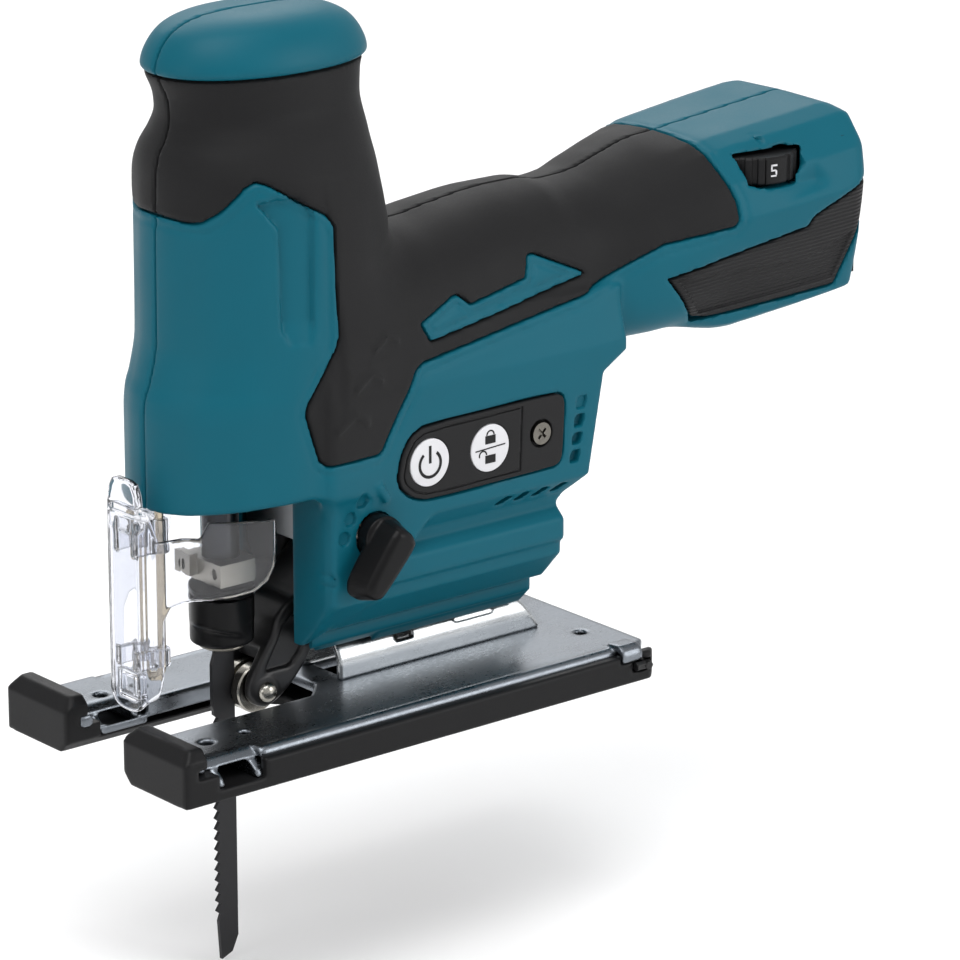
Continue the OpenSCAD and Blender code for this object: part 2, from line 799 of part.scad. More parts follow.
module clamp_block() {
    color("#a8a9a6") difference() {
        union() {
            box(-6.5, 6, -8.7, 8.7, 45, 51.2);
            box(-9.2, -6.4, 1.5, 8.7, 46.5, 52.4);
        }
        rod_z(rod_d / 2, 44, 60, 0, 0);
        rod_x(1.5, -12, -4.8, -5.6, 48.2);
        rod_x(1.5, -12, -4.8, 5.6, 49);
    }
}

module clamp_cap() {
    color("#b3ab9c") difference() {
        union() {
            rod_z(7.4, 25.4, 26.4, 0, 0);
            rod_z(5.6, 24.4, 25.5, 0, 0);
            rod_z(4.4, 26.3, 43.9, 0, 0);
        }
        box(-3.9, 3.9, -0.75, 0.75, 20, 50);
    }
}

// Spring-loaded sleeve that is turned to free the blade
module clamp_sleeve() {
    color("#1f2023") difference() {
        union() {
            rod_z(8.6, 32, 43.8, 0, 0);
            rod_z(8, 26.8, 43.8, 0, 0);
            box(-9.4, -3, -8, 2, 31, 43);
        }
        rod_z(4.4 + run_fit, 20, 50, 0, 0);
    }
}

blade_top = 42;

// Saw blade with a T shank; its teeth point forwards
module blade() {
    half = blade_w / 2;
    teeth = floor((blade_tip - 3) / tooth_pitch);
    color("#202124") difference() {
        slab(concat(
            [[half, 20.5], [2.9, 23.5], [2.9, 37], [3.6, 38.5], [3.6, blade_top],
             [-3.6, blade_top], [-3.6, 38.5], [-2.9, 37], [-2.9, 23.5],
             [-half - 0.4, 20.5], [-half - 0.4, 8.5], [-half, 7]],
            [for (i = [0 : teeth - 1]) each [
                [-half, 6 - i * tooth_pitch],
                [-half + 1.3, 4.9 - i * tooth_pitch]]],
            [[-half + 0.6, 6 - teeth * tooth_pitch],
             [-half + 1.4, -blade_tip], [half - 2, -blade_tip + 1.5],
             [half, -blade_tip + 6]]), -blade_t / 2, blade_t / 2);
    }
}

// ---- blade guide -----------------------------------------------------

// Forked arm: two cheeks beside the roller joined above and behind it
module guide_arm() {
    cheek = [[roller_x - 4, roller_z + 1.5], [roller_x - 3.4, roller_z - 2.8],
             [roller_x, roller_z - 4.5], [roller_x + 3.6, roller_z - 3],
             [roller_x + 9, roller_z + 5.5], [arm_x + 3, arm_z - 8],
             [arm_x + 4.6, arm_z], [arm_x + 8, arm_z + 10],
             [arm_x + 4, arm_z + 12], [arm_x - 4.4, arm_z + 1],
             [arm_x - 5, arm_z - 6], [roller_x + 4.5, roller_z + 9.5]];
    color("#27282b") difference() {
        slab(cheek, -arm_half, arm_half);
        rod_y(roller_d / 2 + 0.9, -roller_w / 2 - 0.4, roller_w / 2 + 0.4,
              roller_x, roller_z);
        box(-20, roller_x, -roller_w / 2 - 0.4, roller_w / 2 + 0.4, 0, 24);
        rod_y(arm_pin_d / 2 + run_fit, -20, 20, arm_x, arm_z);
        rod_y(2, -20, 20, roller_x, roller_z);
    }
}

module arm_pin() { color("#a9acb0") rod_y(arm_pin_d / 2, -13.1, 13.1, arm_x, arm_z); }

module roller_pin() {
    color("#b7b3a8") {
        rod_y(2, -arm_half, arm_half, roller_x, roller_z);
        rod_y(2.7, -arm_half - 1.2, -arm_half, roller_x, roller_z);
        rod_y(2.7, arm_half, arm_half + 1.2, roller_x, roller_z);
    }
}

module guide_roller() {
    color("#a49e92") translate([roller_x, 0, roller_z]) rotate([90, 0, 0])
        rotate_extrude() polygon([
            [2 + run_fit, -roller_w / 2], [roller_d / 2 - 0.4, -roller_w / 2],
            [roller_d / 2, -roller_w / 2 + 0.4], [roller_d / 2, -0.9],
            [roller_d / 2 - groove, -0.75], [roller_d / 2 - groove, 0.75],
            [roller_d / 2, 0.9], [roller_d / 2, roller_w / 2 - 0.4],
            [roller_d / 2 - 0.4, roller_w / 2], [2 + run_fit, roller_w / 2]]);
}

// ---- guard -----------------------------------------------------------

module wire_guard() {
    r = wire_d / 2;
    color("#a8a193") {
        for (y = [-wire_y, wire_y])
            rod_z(r, wire_low, wire_top, wire_x + 1, y);
        translate([wire_x + 1, 0, wire_low]) rotate([90, 0, 90])
            rotate_extrude(angle = 180, $fn = 48)
                translate([-wire_y, 0]) circle(r = r, $fn = 24);
    }
}

guard_half = 8;
guard_x0 = -32;
wing_half = 24;

// Plan outline of the wing from the column to its rear edge
module wing_plan(inset) {
    polygon([[-25.8, guard_half - inset], [-21, 14.5 - inset], [-14, 20.5 - inset],
             [-6, 23.4 - inset], [1.5, wing_half - inset],
             [1.5, 0], [-25.8, 0]]);
}

module guard_wings() {
    for (m = [0, 1]) mirror([0, m, 0]) intersection() {
        translate([0, 0, 40]) linear_extrude(30) difference() {
            wing_plan(0);
            wing_plan(guard_t);
            translate([-30, -1]) square([34, 4]);
        }
        slab([[-27, 65.8], [1.5, 65.8], [1.5, 56], [0, 51.5], [-5, 47.5],
              [-21, 43.5], [-27, 41]], -60, 60);
    }
}

module dust_guard() {
    color([0.85, 0.9, 0.95, 0.45]) difference() {
        union() {
            difference() {
                translate([0, 0, 14]) linear_extrude(60) difference() {
                    translate([guard_x0, -guard_half]) polygon([
                        [2.2, 0], [6.2, 0], [6.2, 2 * guard_half],
                        [2.2, 2 * guard_half], [0.6, 2 * guard_half - 1.2],
                        [0, 2 * guard_half - 3.4], [0, 3.4], [0.6, 1.2]]);
                    translate([guard_x0 + guard_t, -guard_half + guard_t])
                        square([8, 2 * (guard_half - guard_t)]);
                }
                slab([[-40, 12], [-30, 12], [-22, 19], [-22, 10], [-40, 10]], -20, 20);
                box(-33, -20, -20, 20, 71, 80);
                box(-29.9, -20, -20, 20, 66, 80);
            }
            guard_wings();
            // latch tab above the column
            box(guard_x0, guard_x0 + 2.2, -5.5, 5.5, 71, 78.5);
            // eyes that run on the wires, with webs to the front wall
            for (y = [-wire_y, wire_y]) for (z = [[30, 35], [57, 64]]) {
                rod_z(wire_d / 2 + 1.2, z[0], z[1], wire_x + 1, y);
                box(guard_x0 + 1, wire_x, y - 1, y + 1, z[0], z[1]);
            }
        }
        for (y = [-wire_y, wire_y])
            rod_z(wire_d / 2 + 0.1, 0, 90, wire_x + 1, y);
    }
}

module led_lens() {
    color("#e8f0f4") rod_x(3, 16.4, 20.8, 22, 62);
}

module housing_screws() {
    color("#6f7276") screw_points() {
        translate([0, 0, -8]) cylinder(r = 1.55, h = 18.2);
        translate([0, 0, 10.1]) cylinder(r = 3.2, h = 2.2);
    }
}

// ---- base ------------------------------------------------------------

// Bolt that locks the base, with the washer plate inside the bracket
module base_bolt() {
    zi = tilt_z + bracket_r - bracket_t - 0.25;
    color("#6f7276") {
        rod_z(2, zi - 1, 33, bolt_x, 0);
        box(bolt_x - 5, bolt_x + 5, -2.6, 2.6, zi - 2.2, zi - 0.6);
        translate([bolt_x, 0, zi - 5.6]) cylinder(r = 3.6, h = 3.5, $fn = 6);
    }
}

plate_half = sole_half - 3.2;
block_half = sole_half - 1.4;
slot_x1 = 26;            // rear end of the gap behind the blade
block_x0 = -31;          // front blocks that the fence slides through
block_x1 = -16.5;
fence_top = 7.4;         // upper face of the fence slots

// Plan outline of the whole base, front gap included
module base_plan(front, half, rear) {
    polygon([[front, -half + 3], [front + 3, -half], [rear - 3, -half],
             [rear, -half + 3], [rear, half - 3], [rear - 3, half],
             [front + 3, half], [front, half - 3], [front, gap_half],
             [slot_x1 - 6, gap_half], [slot_x1, gap_half - 6],
             [slot_x1, -gap_half + 6], [slot_x1 - 6, -gap_half],
             [front, -gap_half]]);
}

module base_plate() {
    front = sole_front + 4.5;
    color("#b9bcbf") difference() {
        union() {
            translate([0, 0, plate_top - plate_t]) linear_extrude(plate_t)
                base_plan(front, plate_half, sole_rear - 1.2);
            // turned-down side flanges
            for (s = [-1, 1])
                box(-14, sole_rear - 8, s * (plate_half - 1.3) - 1.3,
                    s * (plate_half - 1.3) + 1.3, cover_t, plate_top - 1);
            // front blocks that hold the fence slots
            for (s = [-1, 1])
                box(block_x0, block_x1, s < 0 ? -block_half : gap_half,
                    s < 0 ? -gap_half : block_half, cover_t, plate_top);
            // corner lugs that hook over the sole cover
            for (s = [-1, 1])
                box(sole_rear - 14, sole_rear - 6, s * (sole_half - 2.6) - 3,
                    s * (sole_half - 2.6) + 3, plate_top - 2, plate_top + 1.1);
        }
        // fence slots across both arms
        box(-28.5, -18.5, -60, 60, cover_t - 1, fence_top);
        for (s = [-1, 1]) rod_z(fence_bore / 2, 6, 12, -23.5, s * 20);
        rod_z(1.8, 6, 12, 110, -20);
        // opening under the bracket for the bolt's wrench
        box(bracket_x0 + 3, bracket_x1 - 3, -6.9, 6.9, 0, 12);
        // slots that take the hex wrench
        box(sole_rear - 7, sole_rear + 1, -60, 60, cover_t, 6.4);
    }
}

module tilt_bracket() {
    inner = bracket_r - bracket_t;
    color("#c7cacd") difference() {
        union() {
            intersection() {
                rod_x(bracket_r, bracket_x0, bracket_x1, 0, tilt_z);
                box(0, far, -20, 20, tilt_z, 40);
            }
            box(bracket_x0, bracket_x1, -bracket_r, bracket_r, plate_top, tilt_z);
        }
        rod_x(inner, 0, far, 0, tilt_z);
        box(0, far, -inner, inner, 0, tilt_z);
        // cross-shaped slot for the bolt
        box(bolt_x - 3.2, bolt_x + 3.2, -12, 12, tilt_z + 3.1, 40);
        box(bolt_x - 3.2, bolt_x + 18, -3.2, 3.2, tilt_z + 4.7, 40);
    }
}

module base_cover() {
    bump = 14;
    color("#242528") difference() {
        union() {
            linear_extrude(cover_t) base_plan(sole_front, sole_half, sole_rear);
            for (s = [-1, 1]) {
                box(block_x1 + 0.1, sole_rear, s * (sole_half - 1.5) - 1.5,
                    s * (sole_half - 1.5) + 1.5, 0, 8.2);
            }
            box(sole_rear - 3, sole_rear, -sole_half, sole_half, 0, 6.2);
            // bumpers in front of both arms
            for (s = [-1, 1])
                bar_x([[s * gap_half, 0], [s * sole_half, 0], [s * sole_half, 10.5],
                       [s * (sole_half - 3), bump], [s * (gap_half + 2.5), bump],
                       [s * gap_half, bump - 2.5]], sole_front, block_x0 - 0.1);
        }
        slab([[sole_front - 1, 11], [sole_front + 4, 15], [sole_front - 1, 15]], -60, 60);
        // seat for the plate's front edge behind the bumpers
        box(sole_front + 4.4, sole_front + 13, -60, 60, plate_top - plate_t - 0.05,
            plate_top + 0.05);
        // chamfers that let the upright blade pass at full tilt
        for (s = [-1, 1])
            bar_x([[s * (gap_half - 1), -1], [s * (gap_half + 4.2), -1],
                   [s * (gap_half - 1), 4.2]], sole_front - 1, slot_x1 - 4);
        box(sole_rear - 14.2, sole_rear - 5.8, -60, 60, 7, 12);
        box(sole_rear - 7, sole_rear - 2.9, -60, 60, cover_t, 6.3);
        box(sole_rear - 9.6, sole_rear - 2.9, -60, 0.3 - sole_half + 1.5, cover_t, 6.3);
        box(bracket_x0 + 3, bracket_x1 - 3, -6.9, 6.9, -1, 12);
    }
}

// Hex wrench stored across the rear of the base
module hex_wrench() {
    r = 1.3;
    x = sole_rear - 5;
    color("#2a2b2e") {
        translate([x, 38, cover_t + 1.7]) rotate([90, 0, 0])
            cylinder(r = r, h = 80.4, $fn = 6);
        translate([x - 4, -41, cover_t + 1.7]) rotate([0, 90, 0])
            cylinder(r = r, h = 5, $fn = 6);
    }
}

housing_left();
housing_right();
grip_left();
grip_right();
battery_guard_left();
battery_guard_right();
battery_mount();
terminal_contacts();
battery_leads();
switch_panel();
panel_screw();
switch_board();
power_button();
lock_button();
dial_holder();
speed_dial();
control_box();
motor_stator();
stator_coils();
front_bearing();
rear_bearing();
rotor_core();
rotor_shaft();
cooling_fan();
gear_housing();
gear_axle();
crank_gear();
crank_roller();
holder_pins();
plunger_holder();
plunger_bushes();
plunger_rod();
drive_yoke();
clamp_block();
clamp_cap();
clamp_sleeve();
blade();
guide_arm();
arm_pin();
roller_pin();
guide_roller();
orbit_lever();
lever_shaft();
wire_guard();
dust_guard();
led_lens();
housing_screws();
base_bolt();
base_plate();
tilt_bracket();
base_cover();
hex_wrench();
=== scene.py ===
"""Looks of a cordless barrel-grip jigsaw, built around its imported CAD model.

Every length in the shape code is in millimetres: +X is the battery end, -Y the
user's left, +Z up, and the blade axis leaves the sole at the origin.
"""
from __future__ import annotations

import json
import logging
import math
from dataclasses import dataclass
from enum import Enum
from typing import Callable, Sequence

import bpy
import numpy as np
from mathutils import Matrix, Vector

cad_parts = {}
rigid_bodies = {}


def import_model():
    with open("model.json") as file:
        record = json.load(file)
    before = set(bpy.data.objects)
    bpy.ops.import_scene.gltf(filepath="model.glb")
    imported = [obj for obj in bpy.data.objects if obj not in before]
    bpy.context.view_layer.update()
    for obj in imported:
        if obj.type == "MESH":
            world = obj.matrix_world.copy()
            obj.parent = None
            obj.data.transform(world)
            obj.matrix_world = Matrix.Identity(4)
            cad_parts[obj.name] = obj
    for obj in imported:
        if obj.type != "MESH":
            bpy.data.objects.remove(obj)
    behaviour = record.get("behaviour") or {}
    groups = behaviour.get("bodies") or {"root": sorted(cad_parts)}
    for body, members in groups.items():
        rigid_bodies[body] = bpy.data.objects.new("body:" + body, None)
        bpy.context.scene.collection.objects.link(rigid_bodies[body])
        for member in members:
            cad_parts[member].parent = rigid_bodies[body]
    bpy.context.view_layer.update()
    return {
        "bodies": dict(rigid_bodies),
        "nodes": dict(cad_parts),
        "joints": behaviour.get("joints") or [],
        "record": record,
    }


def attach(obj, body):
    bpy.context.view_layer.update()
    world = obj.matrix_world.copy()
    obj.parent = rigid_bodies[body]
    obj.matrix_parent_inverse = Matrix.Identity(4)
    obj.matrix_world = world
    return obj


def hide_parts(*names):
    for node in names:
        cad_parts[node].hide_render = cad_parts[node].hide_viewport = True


LOG = logging.getLogger("jigsaw")
MM = 0.001
Array = np.ndarray
Point = Sequence[float]
Field = Callable[[Array, Array, Array], Array]


class Body(str, Enum):
    """CAD bodies that pieces ride on."""

    ROOT = "root"
    BASE = "base"
    PLUNGER = "plunger"
    SLEEVE = "sleeve"
    GUIDE = "guide"
    ROLLER = "roller"
    LEVER = "lever"
    DIAL = "dial"
    POWER = "power_key"
    LOCK = "lock_key"
    GUARD = "guard"


# ---- signed distance helpers ------------------------------------------


def smooth_max(a: Array, b: Array, k: float) -> Array:
    """Largest of two fields, with the crease rounded over k millimetres."""
    return np.maximum(a, b) + np.maximum(k - np.abs(a - b), 0) ** 2 / (4 * k)


def smooth_min(a: Array, b: Array, k: float) -> Array:
    """Smallest of two fields, with the crease filled over k millimetres."""
    return np.minimum(a, b) - np.maximum(k - np.abs(a - b), 0) ** 2 / (4 * k)


def ramp(value: Array, start: float, end: float) -> Array:
    """Smooth step from 0 at start to 1 at end."""
    t = np.clip((value - start) / (end - start), 0, 1)
    return t * t * (3 - 2 * t)


def profile(points: Sequence[Point]) -> Callable[[Array], Array]:
    """Smooth curve through (position, value) points without overshoot.

    Args:
        points: Knots in rising order of position.

    Returns:
        A function of an array of positions.
    """
    knots, values = np.array(points, float).T
    slope = np.diff(values) / np.diff(knots)
    tangent = np.zeros(len(knots))
    rising = slope[:-1] * slope[1:] > 0
    tangent[1:-1][rising] = (2 * slope[:-1] * slope[1:] / (slope[:-1] + slope[1:] + 1e-12))[rising]

    def curve(at: Array) -> Array:
        clipped = np.clip(at, knots[0], knots[-1])
        i = np.clip(np.searchsorted(knots, clipped) - 1, 0, len(slope) - 1)
        width = (knots[1:] - knots[:-1])[i]
        t = (clipped - knots[i]) / width
        return (
            (2 * t**3 - 3 * t**2 + 1) * values[i]
            + (t**3 - 2 * t**2 + t) * width * tangent[i]
            + (3 * t**2 - 2 * t**3) * values[i + 1]
            + (t**3 - t**2) * width * tangent[i + 1]
        ).astype(np.float32)

    return curve


def polygon(u: Array, v: Array, points: Sequence[Point]) -> Array:
    """Signed distance to a closed polygon in the plane, negative inside."""
    corners = np.array(points, np.float32)
    best = np.full(np.broadcast(u, v).shape, 1e9, np.float32)
    inside = np.zeros(best.shape, bool)
    for (au, av), (bu, bv) in zip(corners, np.roll(corners, -1, axis=0)):
        eu, ev = bu - au, bv - av
        du, dv = u - au, v - av
        t = np.clip((du * eu + dv * ev) / (eu * eu + ev * ev + 1e-9), 0, 1)
        best = np.minimum(best, (du - t * eu) ** 2 + (dv - t * ev) ** 2)
        cross = ((av > v) != (bv > v)) & (u < (bu - au) * (v - av) / (bv - av + 1e-9) + au)
        inside ^= cross
    return np.where(inside, -np.sqrt(best), np.sqrt(best))


def slab(value: Array, low: float, high: float) -> Array:
    """Signed distance to the space between two parallel planes."""
    return np.abs(value - (low + high) / 2) - (high - low) / 2


def block(x: Array, y: Array, z: Array, low: Point, high: Point, r: float = 0.5) -> Array:
    """Box between two corners with edges rounded by r."""
    q = [slab(a, lo, hi) + r for a, lo, hi in zip((x, y, z), low, high)]
    outside = np.sqrt(sum(np.maximum(c, 0) ** 2 for c in q))
    return outside + np.minimum(np.maximum(np.maximum(q[0], q[1]), q[2]), 0) - r


def extrude(plane: Array, along: Array, low: float, high: float, r: float = 0.5) -> Array:
    """Carries a flat field along its normal and rounds the edges by r."""
    a, b = plane + r, slab(along, low, high) + r
    outside = np.sqrt(np.maximum(a, 0) ** 2 + np.maximum(b, 0) ** 2)
    return outside + np.minimum(np.maximum(a, b), 0) - r


def disc(u: Array, v: Array, centre: Point, radius: float) -> Array:
    """Signed distance to a circle in a plane."""
    return np.sqrt((u - centre[0]) ** 2 + (v - centre[1]) ** 2) - radius


def without(shape: Array, tool: Array, k: float = 0.5) -> Array:
    """Removes the tool from the shape with a softened edge."""
    return smooth_max(shape, -tool, k)


# ---- meshing ----------------------------------------------------------


@dataclass(frozen=True)
class Lattice:
    """Sampling box of a field.

    Attributes:
        low: Lowest corner.
        high: Highest corner.
        step: Distance between samples.
        along: Stretch of that distance along X, Y and Z.
    """

    low: Point
    high: Point
    step: float
    along: Point = (1.0, 1.0, 1.0)

    def steps(self) -> Array:
        """Distance between samples along each axis."""
        return self.step * np.array(self.along)

    def axes(self) -> list[Array]:
        """Coordinates along X, Y and Z, ready to broadcast."""
        spans = []
        for axis, step in enumerate(self.steps()):
            count = int(math.ceil((self.high[axis] - self.low[axis]) / step)) + 1
            line = (self.low[axis] + step * np.arange(count)).astype(np.float32)
            shape = [1, 1, 1]
            shape[axis] = count
            spans.append(line.reshape(shape))
        return spans


CORNERS = [(i, j, k) for i in (0, 1) for j in (0, 1) for k in (0, 1)]
CELL_EDGES = [
    (a, b) for n, a in enumerate(CORNERS) for b in CORNERS[n + 1 :]
    if sum(abs(p - q) for p, q in zip(a, b)) == 1
]


def net(values: Array, lattice: Lattice) -> tuple[Array, Array]:
    """Closed quad surface where the field changes sign.

    Args:
        values: Samples of the field, negative inside.
        lattice: Where the samples lie.

    Returns:
        Vertices in millimetres and quads with outward normals.
    """
    values = values.astype(np.float32)
    for axis in range(3):
        face = [slice(None)] * 3
        for end in (0, -1):
            face[axis] = end
            values[tuple(face)] = np.maximum(values[tuple(face)], 0.01)
    inside = values < 0
    nx, ny, nz = (n - 1 for n in values.shape)
    count = sum(inside[i : i + nx, j : j + ny, k : k + nz].astype(np.int8) for i, j, k in CORNERS)
    active = (count > 0) & (count < 8)
    index = np.full(active.shape, -1, np.int64)
    cells = np.argwhere(active)
    index[active] = np.arange(len(cells))
    total = np.zeros((len(cells), 3))
    hits = np.zeros(len(cells))
    for a, b in CELL_EDGES:
        va = values[tuple((cells + a).T)]
        vb = values[tuple((cells + b).T)]
        cross = (va < 0) != (vb < 0)
        t = np.where(cross, va / np.where(va == vb, 1, va - vb), 0)
        spot = np.array(a) + t[:, None] * (np.array(b) - np.array(a))
        total[cross] += spot[cross]
        hits += cross
    points = np.array(lattice.low) + lattice.steps() * (cells + total / hits[:, None])
    quads = []
    for axis in range(3):
        lo = [slice(1, -1)] * 3
        hi = [slice(1, -1)] * 3
        lo[axis], hi[axis] = slice(0, -1), slice(1, None)
        first, second = inside[tuple(lo)], inside[tuple(hi)]
        at = np.argwhere(first != second)
        leaves = first[tuple(at.T)]
        at += 1
        at[:, axis] -= 1
        one, two = [(1, 2), (2, 0), (0, 1)][axis]
        ring = []
        for d1, d2 in ((-1, -1), (0, -1), (0, 0), (-1, 0)):
            cell = at.copy()
            cell[:, one] += d1
            cell[:, two] += d2
            ring.append(index[tuple(cell.T)])
        quad = np.stack(ring, axis=1)
        quad[~leaves] = quad[~leaves][:, ::-1]
        quads.append(quad)
    return points, np.concatenate(quads)


def mesh_piece(name: str, points: Array, faces: Array, material: bpy.types.Material,
               body: Body, nodes: Sequence[str] = (), sharp: float = 40.0):
    """Adds one piece to the scene and ties it to its body.

    Args:
        name: Name of the piece.
        points: Vertices in millimetres.
        faces: Quads or triangles, all of one kind.
        material: Its finish.
        body: Body that it rides on.
        nodes: CAD nodes that it stands for.
        sharp: Angle in degrees past which an edge stays crisp.

    Returns:
        The new object.
    """
    mesh = bpy.data.meshes.new(name)
    faces = np.asarray(faces)
    width = faces.shape[1]
    mesh.vertices.add(len(points))
    mesh.vertices.foreach_set("co", (np.asarray(points) * MM).astype(np.float32).ravel())
    mesh.loops.add(faces.size)
    mesh.loops.foreach_set("vertex_index", faces.astype(np.int32).ravel())
    mesh.polygons.add(len(faces))
    mesh.polygons.foreach_set("loop_start", np.arange(0, faces.size, width, dtype=np.int32))
    mesh.polygons.foreach_set("use_smooth", np.ones(len(faces), bool))
    mesh.update(calc_edges=True)
    mesh.validate()
    mesh.set_sharp_from_angle(angle=math.radians(sharp))
    mesh.materials.append(material)
    piece = bpy.data.objects.new(name, mesh)
    bpy.context.scene.collection.objects.link(piece)
    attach(piece, body.value)
    if nodes:
        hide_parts(*nodes)
    return piece


def carve(name: str, shape: Field, lattice: Lattice, material, body: Body,
          nodes: Sequence[str] = (), mirror: bool = False, sharp: float = 40.0):
    """Meshes a field and adds it as one piece."""
    coarse = 1.0
    used = Lattice(lattice.low, lattice.high, lattice.step * coarse, lattice.along)
    points, quads = net(shape(*used.axes()), used)
    if mirror:
        points = points * (1, -1, 1)
        quads = quads[:, ::-1]
    LOG.info("%s: %d quads", name, len(quads))
    return mesh_piece(name, points, quads, material, body, nodes, sharp)


def lathe(name: str, outline: Sequence[Point], axis: str, centre: Point, material, body: Body,
          nodes: Sequence[str] = (), around: int = 72,
          radius_at: Callable[[Array, int], Array] | None = None):
    """Turns a closed outline of (radius, height) points about an axis."""
    angle = np.linspace(0, 2 * math.pi, around, endpoint=False)
    rows = []
    for row, (radius, height) in enumerate(outline):
        r = np.full(around, float(radius))
        if radius_at is not None:
            r = radius_at(angle, row) * radius
        rows.append(np.stack([r * np.cos(angle), r * np.sin(angle), np.full(around, float(height))], 1))
    points = np.concatenate(rows)
    n = len(outline)
    i, j = np.meshgrid(np.arange(n - 1), np.arange(around), indexing="ij")
    k = (j + 1) % around
    faces = np.stack([i * around + j, i * around + k, (i + 1) * around + k, (i + 1) * around + j], -1)
    faces = faces.reshape(-1, 4)
    if axis == "y":
        points = points[:, [0, 2, 1]] * (1, -1, 1)
        points = np.stack([points[:, 0], -points[:, 1], -points[:, 2]], 1)
    elif axis == "x":
        points = points[:, [2, 0, 1]]
    return mesh_piece(name, points + np.array(centre), faces, material, body, nodes)


# ---- outer form of the housing ------------------------------------------

CAP_X = (-18.5, 45.5)
CAP_HALF = 22.0
CAP_RIM = 184.5
CAP_TOP = 199.0
FRONT = profile([(60, -25), (93, -25), (98.5, -24.4), (103, -22.7), (113, -20.5), (149, -19.8),
                 (158, -19.2), (163, -18.2), (168, -15.6), (172.8, -14.4), (177, -14.8), (186, -18.2)])
REAR = profile([(60, 49.5), (139, 49), (146, 47.6), (153, 46), (165, 44), (175, 43), (181, 43.4), (186, 45)])
HALF = profile([(60, 30.4), (93, 30.4), (112, 30.6), (148, 31), (156, 30.2), (165, 26.3),
                (175, 21.7), (186, 21.7)])
CROWN = profile([(20, 134), (58, 134.7), (72, 136.6), (90, 138.4), (102, 138.4), (111, 137.0),
                 (121, 137.7), (132, 140.7), (143, 143.6), (153, 144.6), (175, 147.2), (210, 150.2)])
FOOT = profile([(20, 86), (75, 88), (111, 91), (133, 91.3), (146, 92.3), (210, 96.4)])
GRIP_HALF = profile([(20, 30), (60, 28.2), (90, 25.4), (111, 24), (133, 28.4), (152, 31.6),
                     (198, 35), (210, 35)])
FACET_ANGLES = (0, 24, 46, 68, 90)
BODY_SIDE = ((8.3, 80), (8.3, 31), (10, 27), (15, 26.5), (19, 29.5), (96, 29.5), (96, 53), (104.5, 60),
             (109.7, 88), (118, 93), (118, 112), (8.3, 112))
BODY_PLAN = ((8.3, -4), (8.3, 16), (13.8, 26), (15.4, 31.5), (130, 31.5), (130, -4))
FOOT_PLAIN = ((-6, 24.5), (15, 24.5), (21, 30.5), (30.2, 40), (30.3, 96), (26, 111), (-6, 111))
FOOT_STEPPED = ((-6, 24.5), (15, 24.5), (21, 30.5), (28.4, 38.6), (28.4, 41.8), (29.9, 43.2),
                (29.9, 49), (26.6, 52), (26.6, 55), (30.3, 60), (30.3, 96), (26, 111), (-6, 111))
TAIL_SECTION = ((-6, 150), (18, 148.8), (24.5, 146.6), (31.5, 138), (35.2, 128), (33.4, 117),
                (29, 97), (25, 95), (-6, 94))
TAIL_PLAN = ((0, -40), (0, 40), (198, 40), (206.6, 30), (206.6, -30), (198, -40))
TAIL_END = ((0, 60), (0, 170), (192, 170), (200, 150.6), (206.4, 146), (206.4, 128), (204.8, 117),
            (203.4, 80))


def oval(u: Array, v: Array, a: Array, b: Array, power: float) -> Array:
    """Near-distance to an oval with half axes a and b."""
    level = (np.abs(u / a) ** power + np.abs(v / b) ** power) ** (1 / power)
    slope = np.hypot(u / (a * a), v / (b * b)) / np.maximum(np.hypot(u / a, v / b), 1e-4)
    return (level - 1) / np.maximum(slope, 1e-4)


def barrel(x: Array, y: Array, z: Array) -> Array:
    """Upright barrel below the cap: a faceted oval that changes with height."""
    front, rear, half = FRONT(z), REAR(z), HALF(z)
    mid, reach = (front + rear) / 2, (rear - front) / 2
    smooth = oval(x - mid, y, reach, half, 2.15)
    facets = None
    for degrees in FACET_ANGLES:
        c, s = math.cos(math.radians(degrees)), math.sin(math.radians(degrees))
        plane = np.abs(x - mid) * c + np.abs(y) * s - np.hypot(reach * c, half * s)
        facets = plane if facets is None else smooth_max(facets, plane, 1.6)
    share = 0.85 * (1 - ramp(z, 146, 162)) * (x < mid)
    return smooth + share * (facets + 0.35 - smooth)


def cap(x: Array, y: Array, z: Array) -> Array:
    """Palm cap with a domed crown and a lip over the neck."""
    mid, reach = sum(CAP_X) / 2, (CAP_X[1] - CAP_X[0]) / 2 + 0.5
    half = CAP_HALF + 0.5
    u, v = (x - mid) / reach, y / half
    wall = oval(x - mid, y, reach, half, 2.15)
    wall = wall + 0.12 * np.maximum(z - 188, 0)
    rho = np.sqrt(np.abs(u) ** 2.3 + np.abs(v) ** 2.1)
    crown = CAP_TOP - 8.2 * rho**4 - 1.0 * rho**2
    dome = (z - crown) * 0.93
    return smooth_max(smooth_max(wall, dome, 5.0), CAP_RIM - z, 1.6)


def handle(x: Array, y: Array, z: Array) -> Array:
    """Handle that widens from the waist into the battery end."""
    crown, foot, half = CROWN(x), FOOT(x), GRIP_HALF(x)
    centre = foot + (crown - foot) * 0.42
    rise = np.where(z > centre, crown - centre, centre - foot)
    t, u = np.abs(z - centre) / rise, np.abs(y) / half
    power = 2.35 + 1.4 * (z < centre)
    round_part = ((t**power + u**power) ** (1 / power) - 1) * np.minimum(half, rise)
    shift = (x - 205) * 0.1
    wide = half / 35
    tail = polygon(np.abs(y) / wide, z - shift, TAIL_SECTION)
    mix = ramp(x, 138, 162)
    body = round_part + mix * (tail - round_part)
    ends = smooth_max(polygon(x, z, TAIL_END), polygon(x, y, TAIL_PLAN), 3.0)
    return smooth_max(smooth_max(body, ends, 3.0), 20 - x, 1.0)


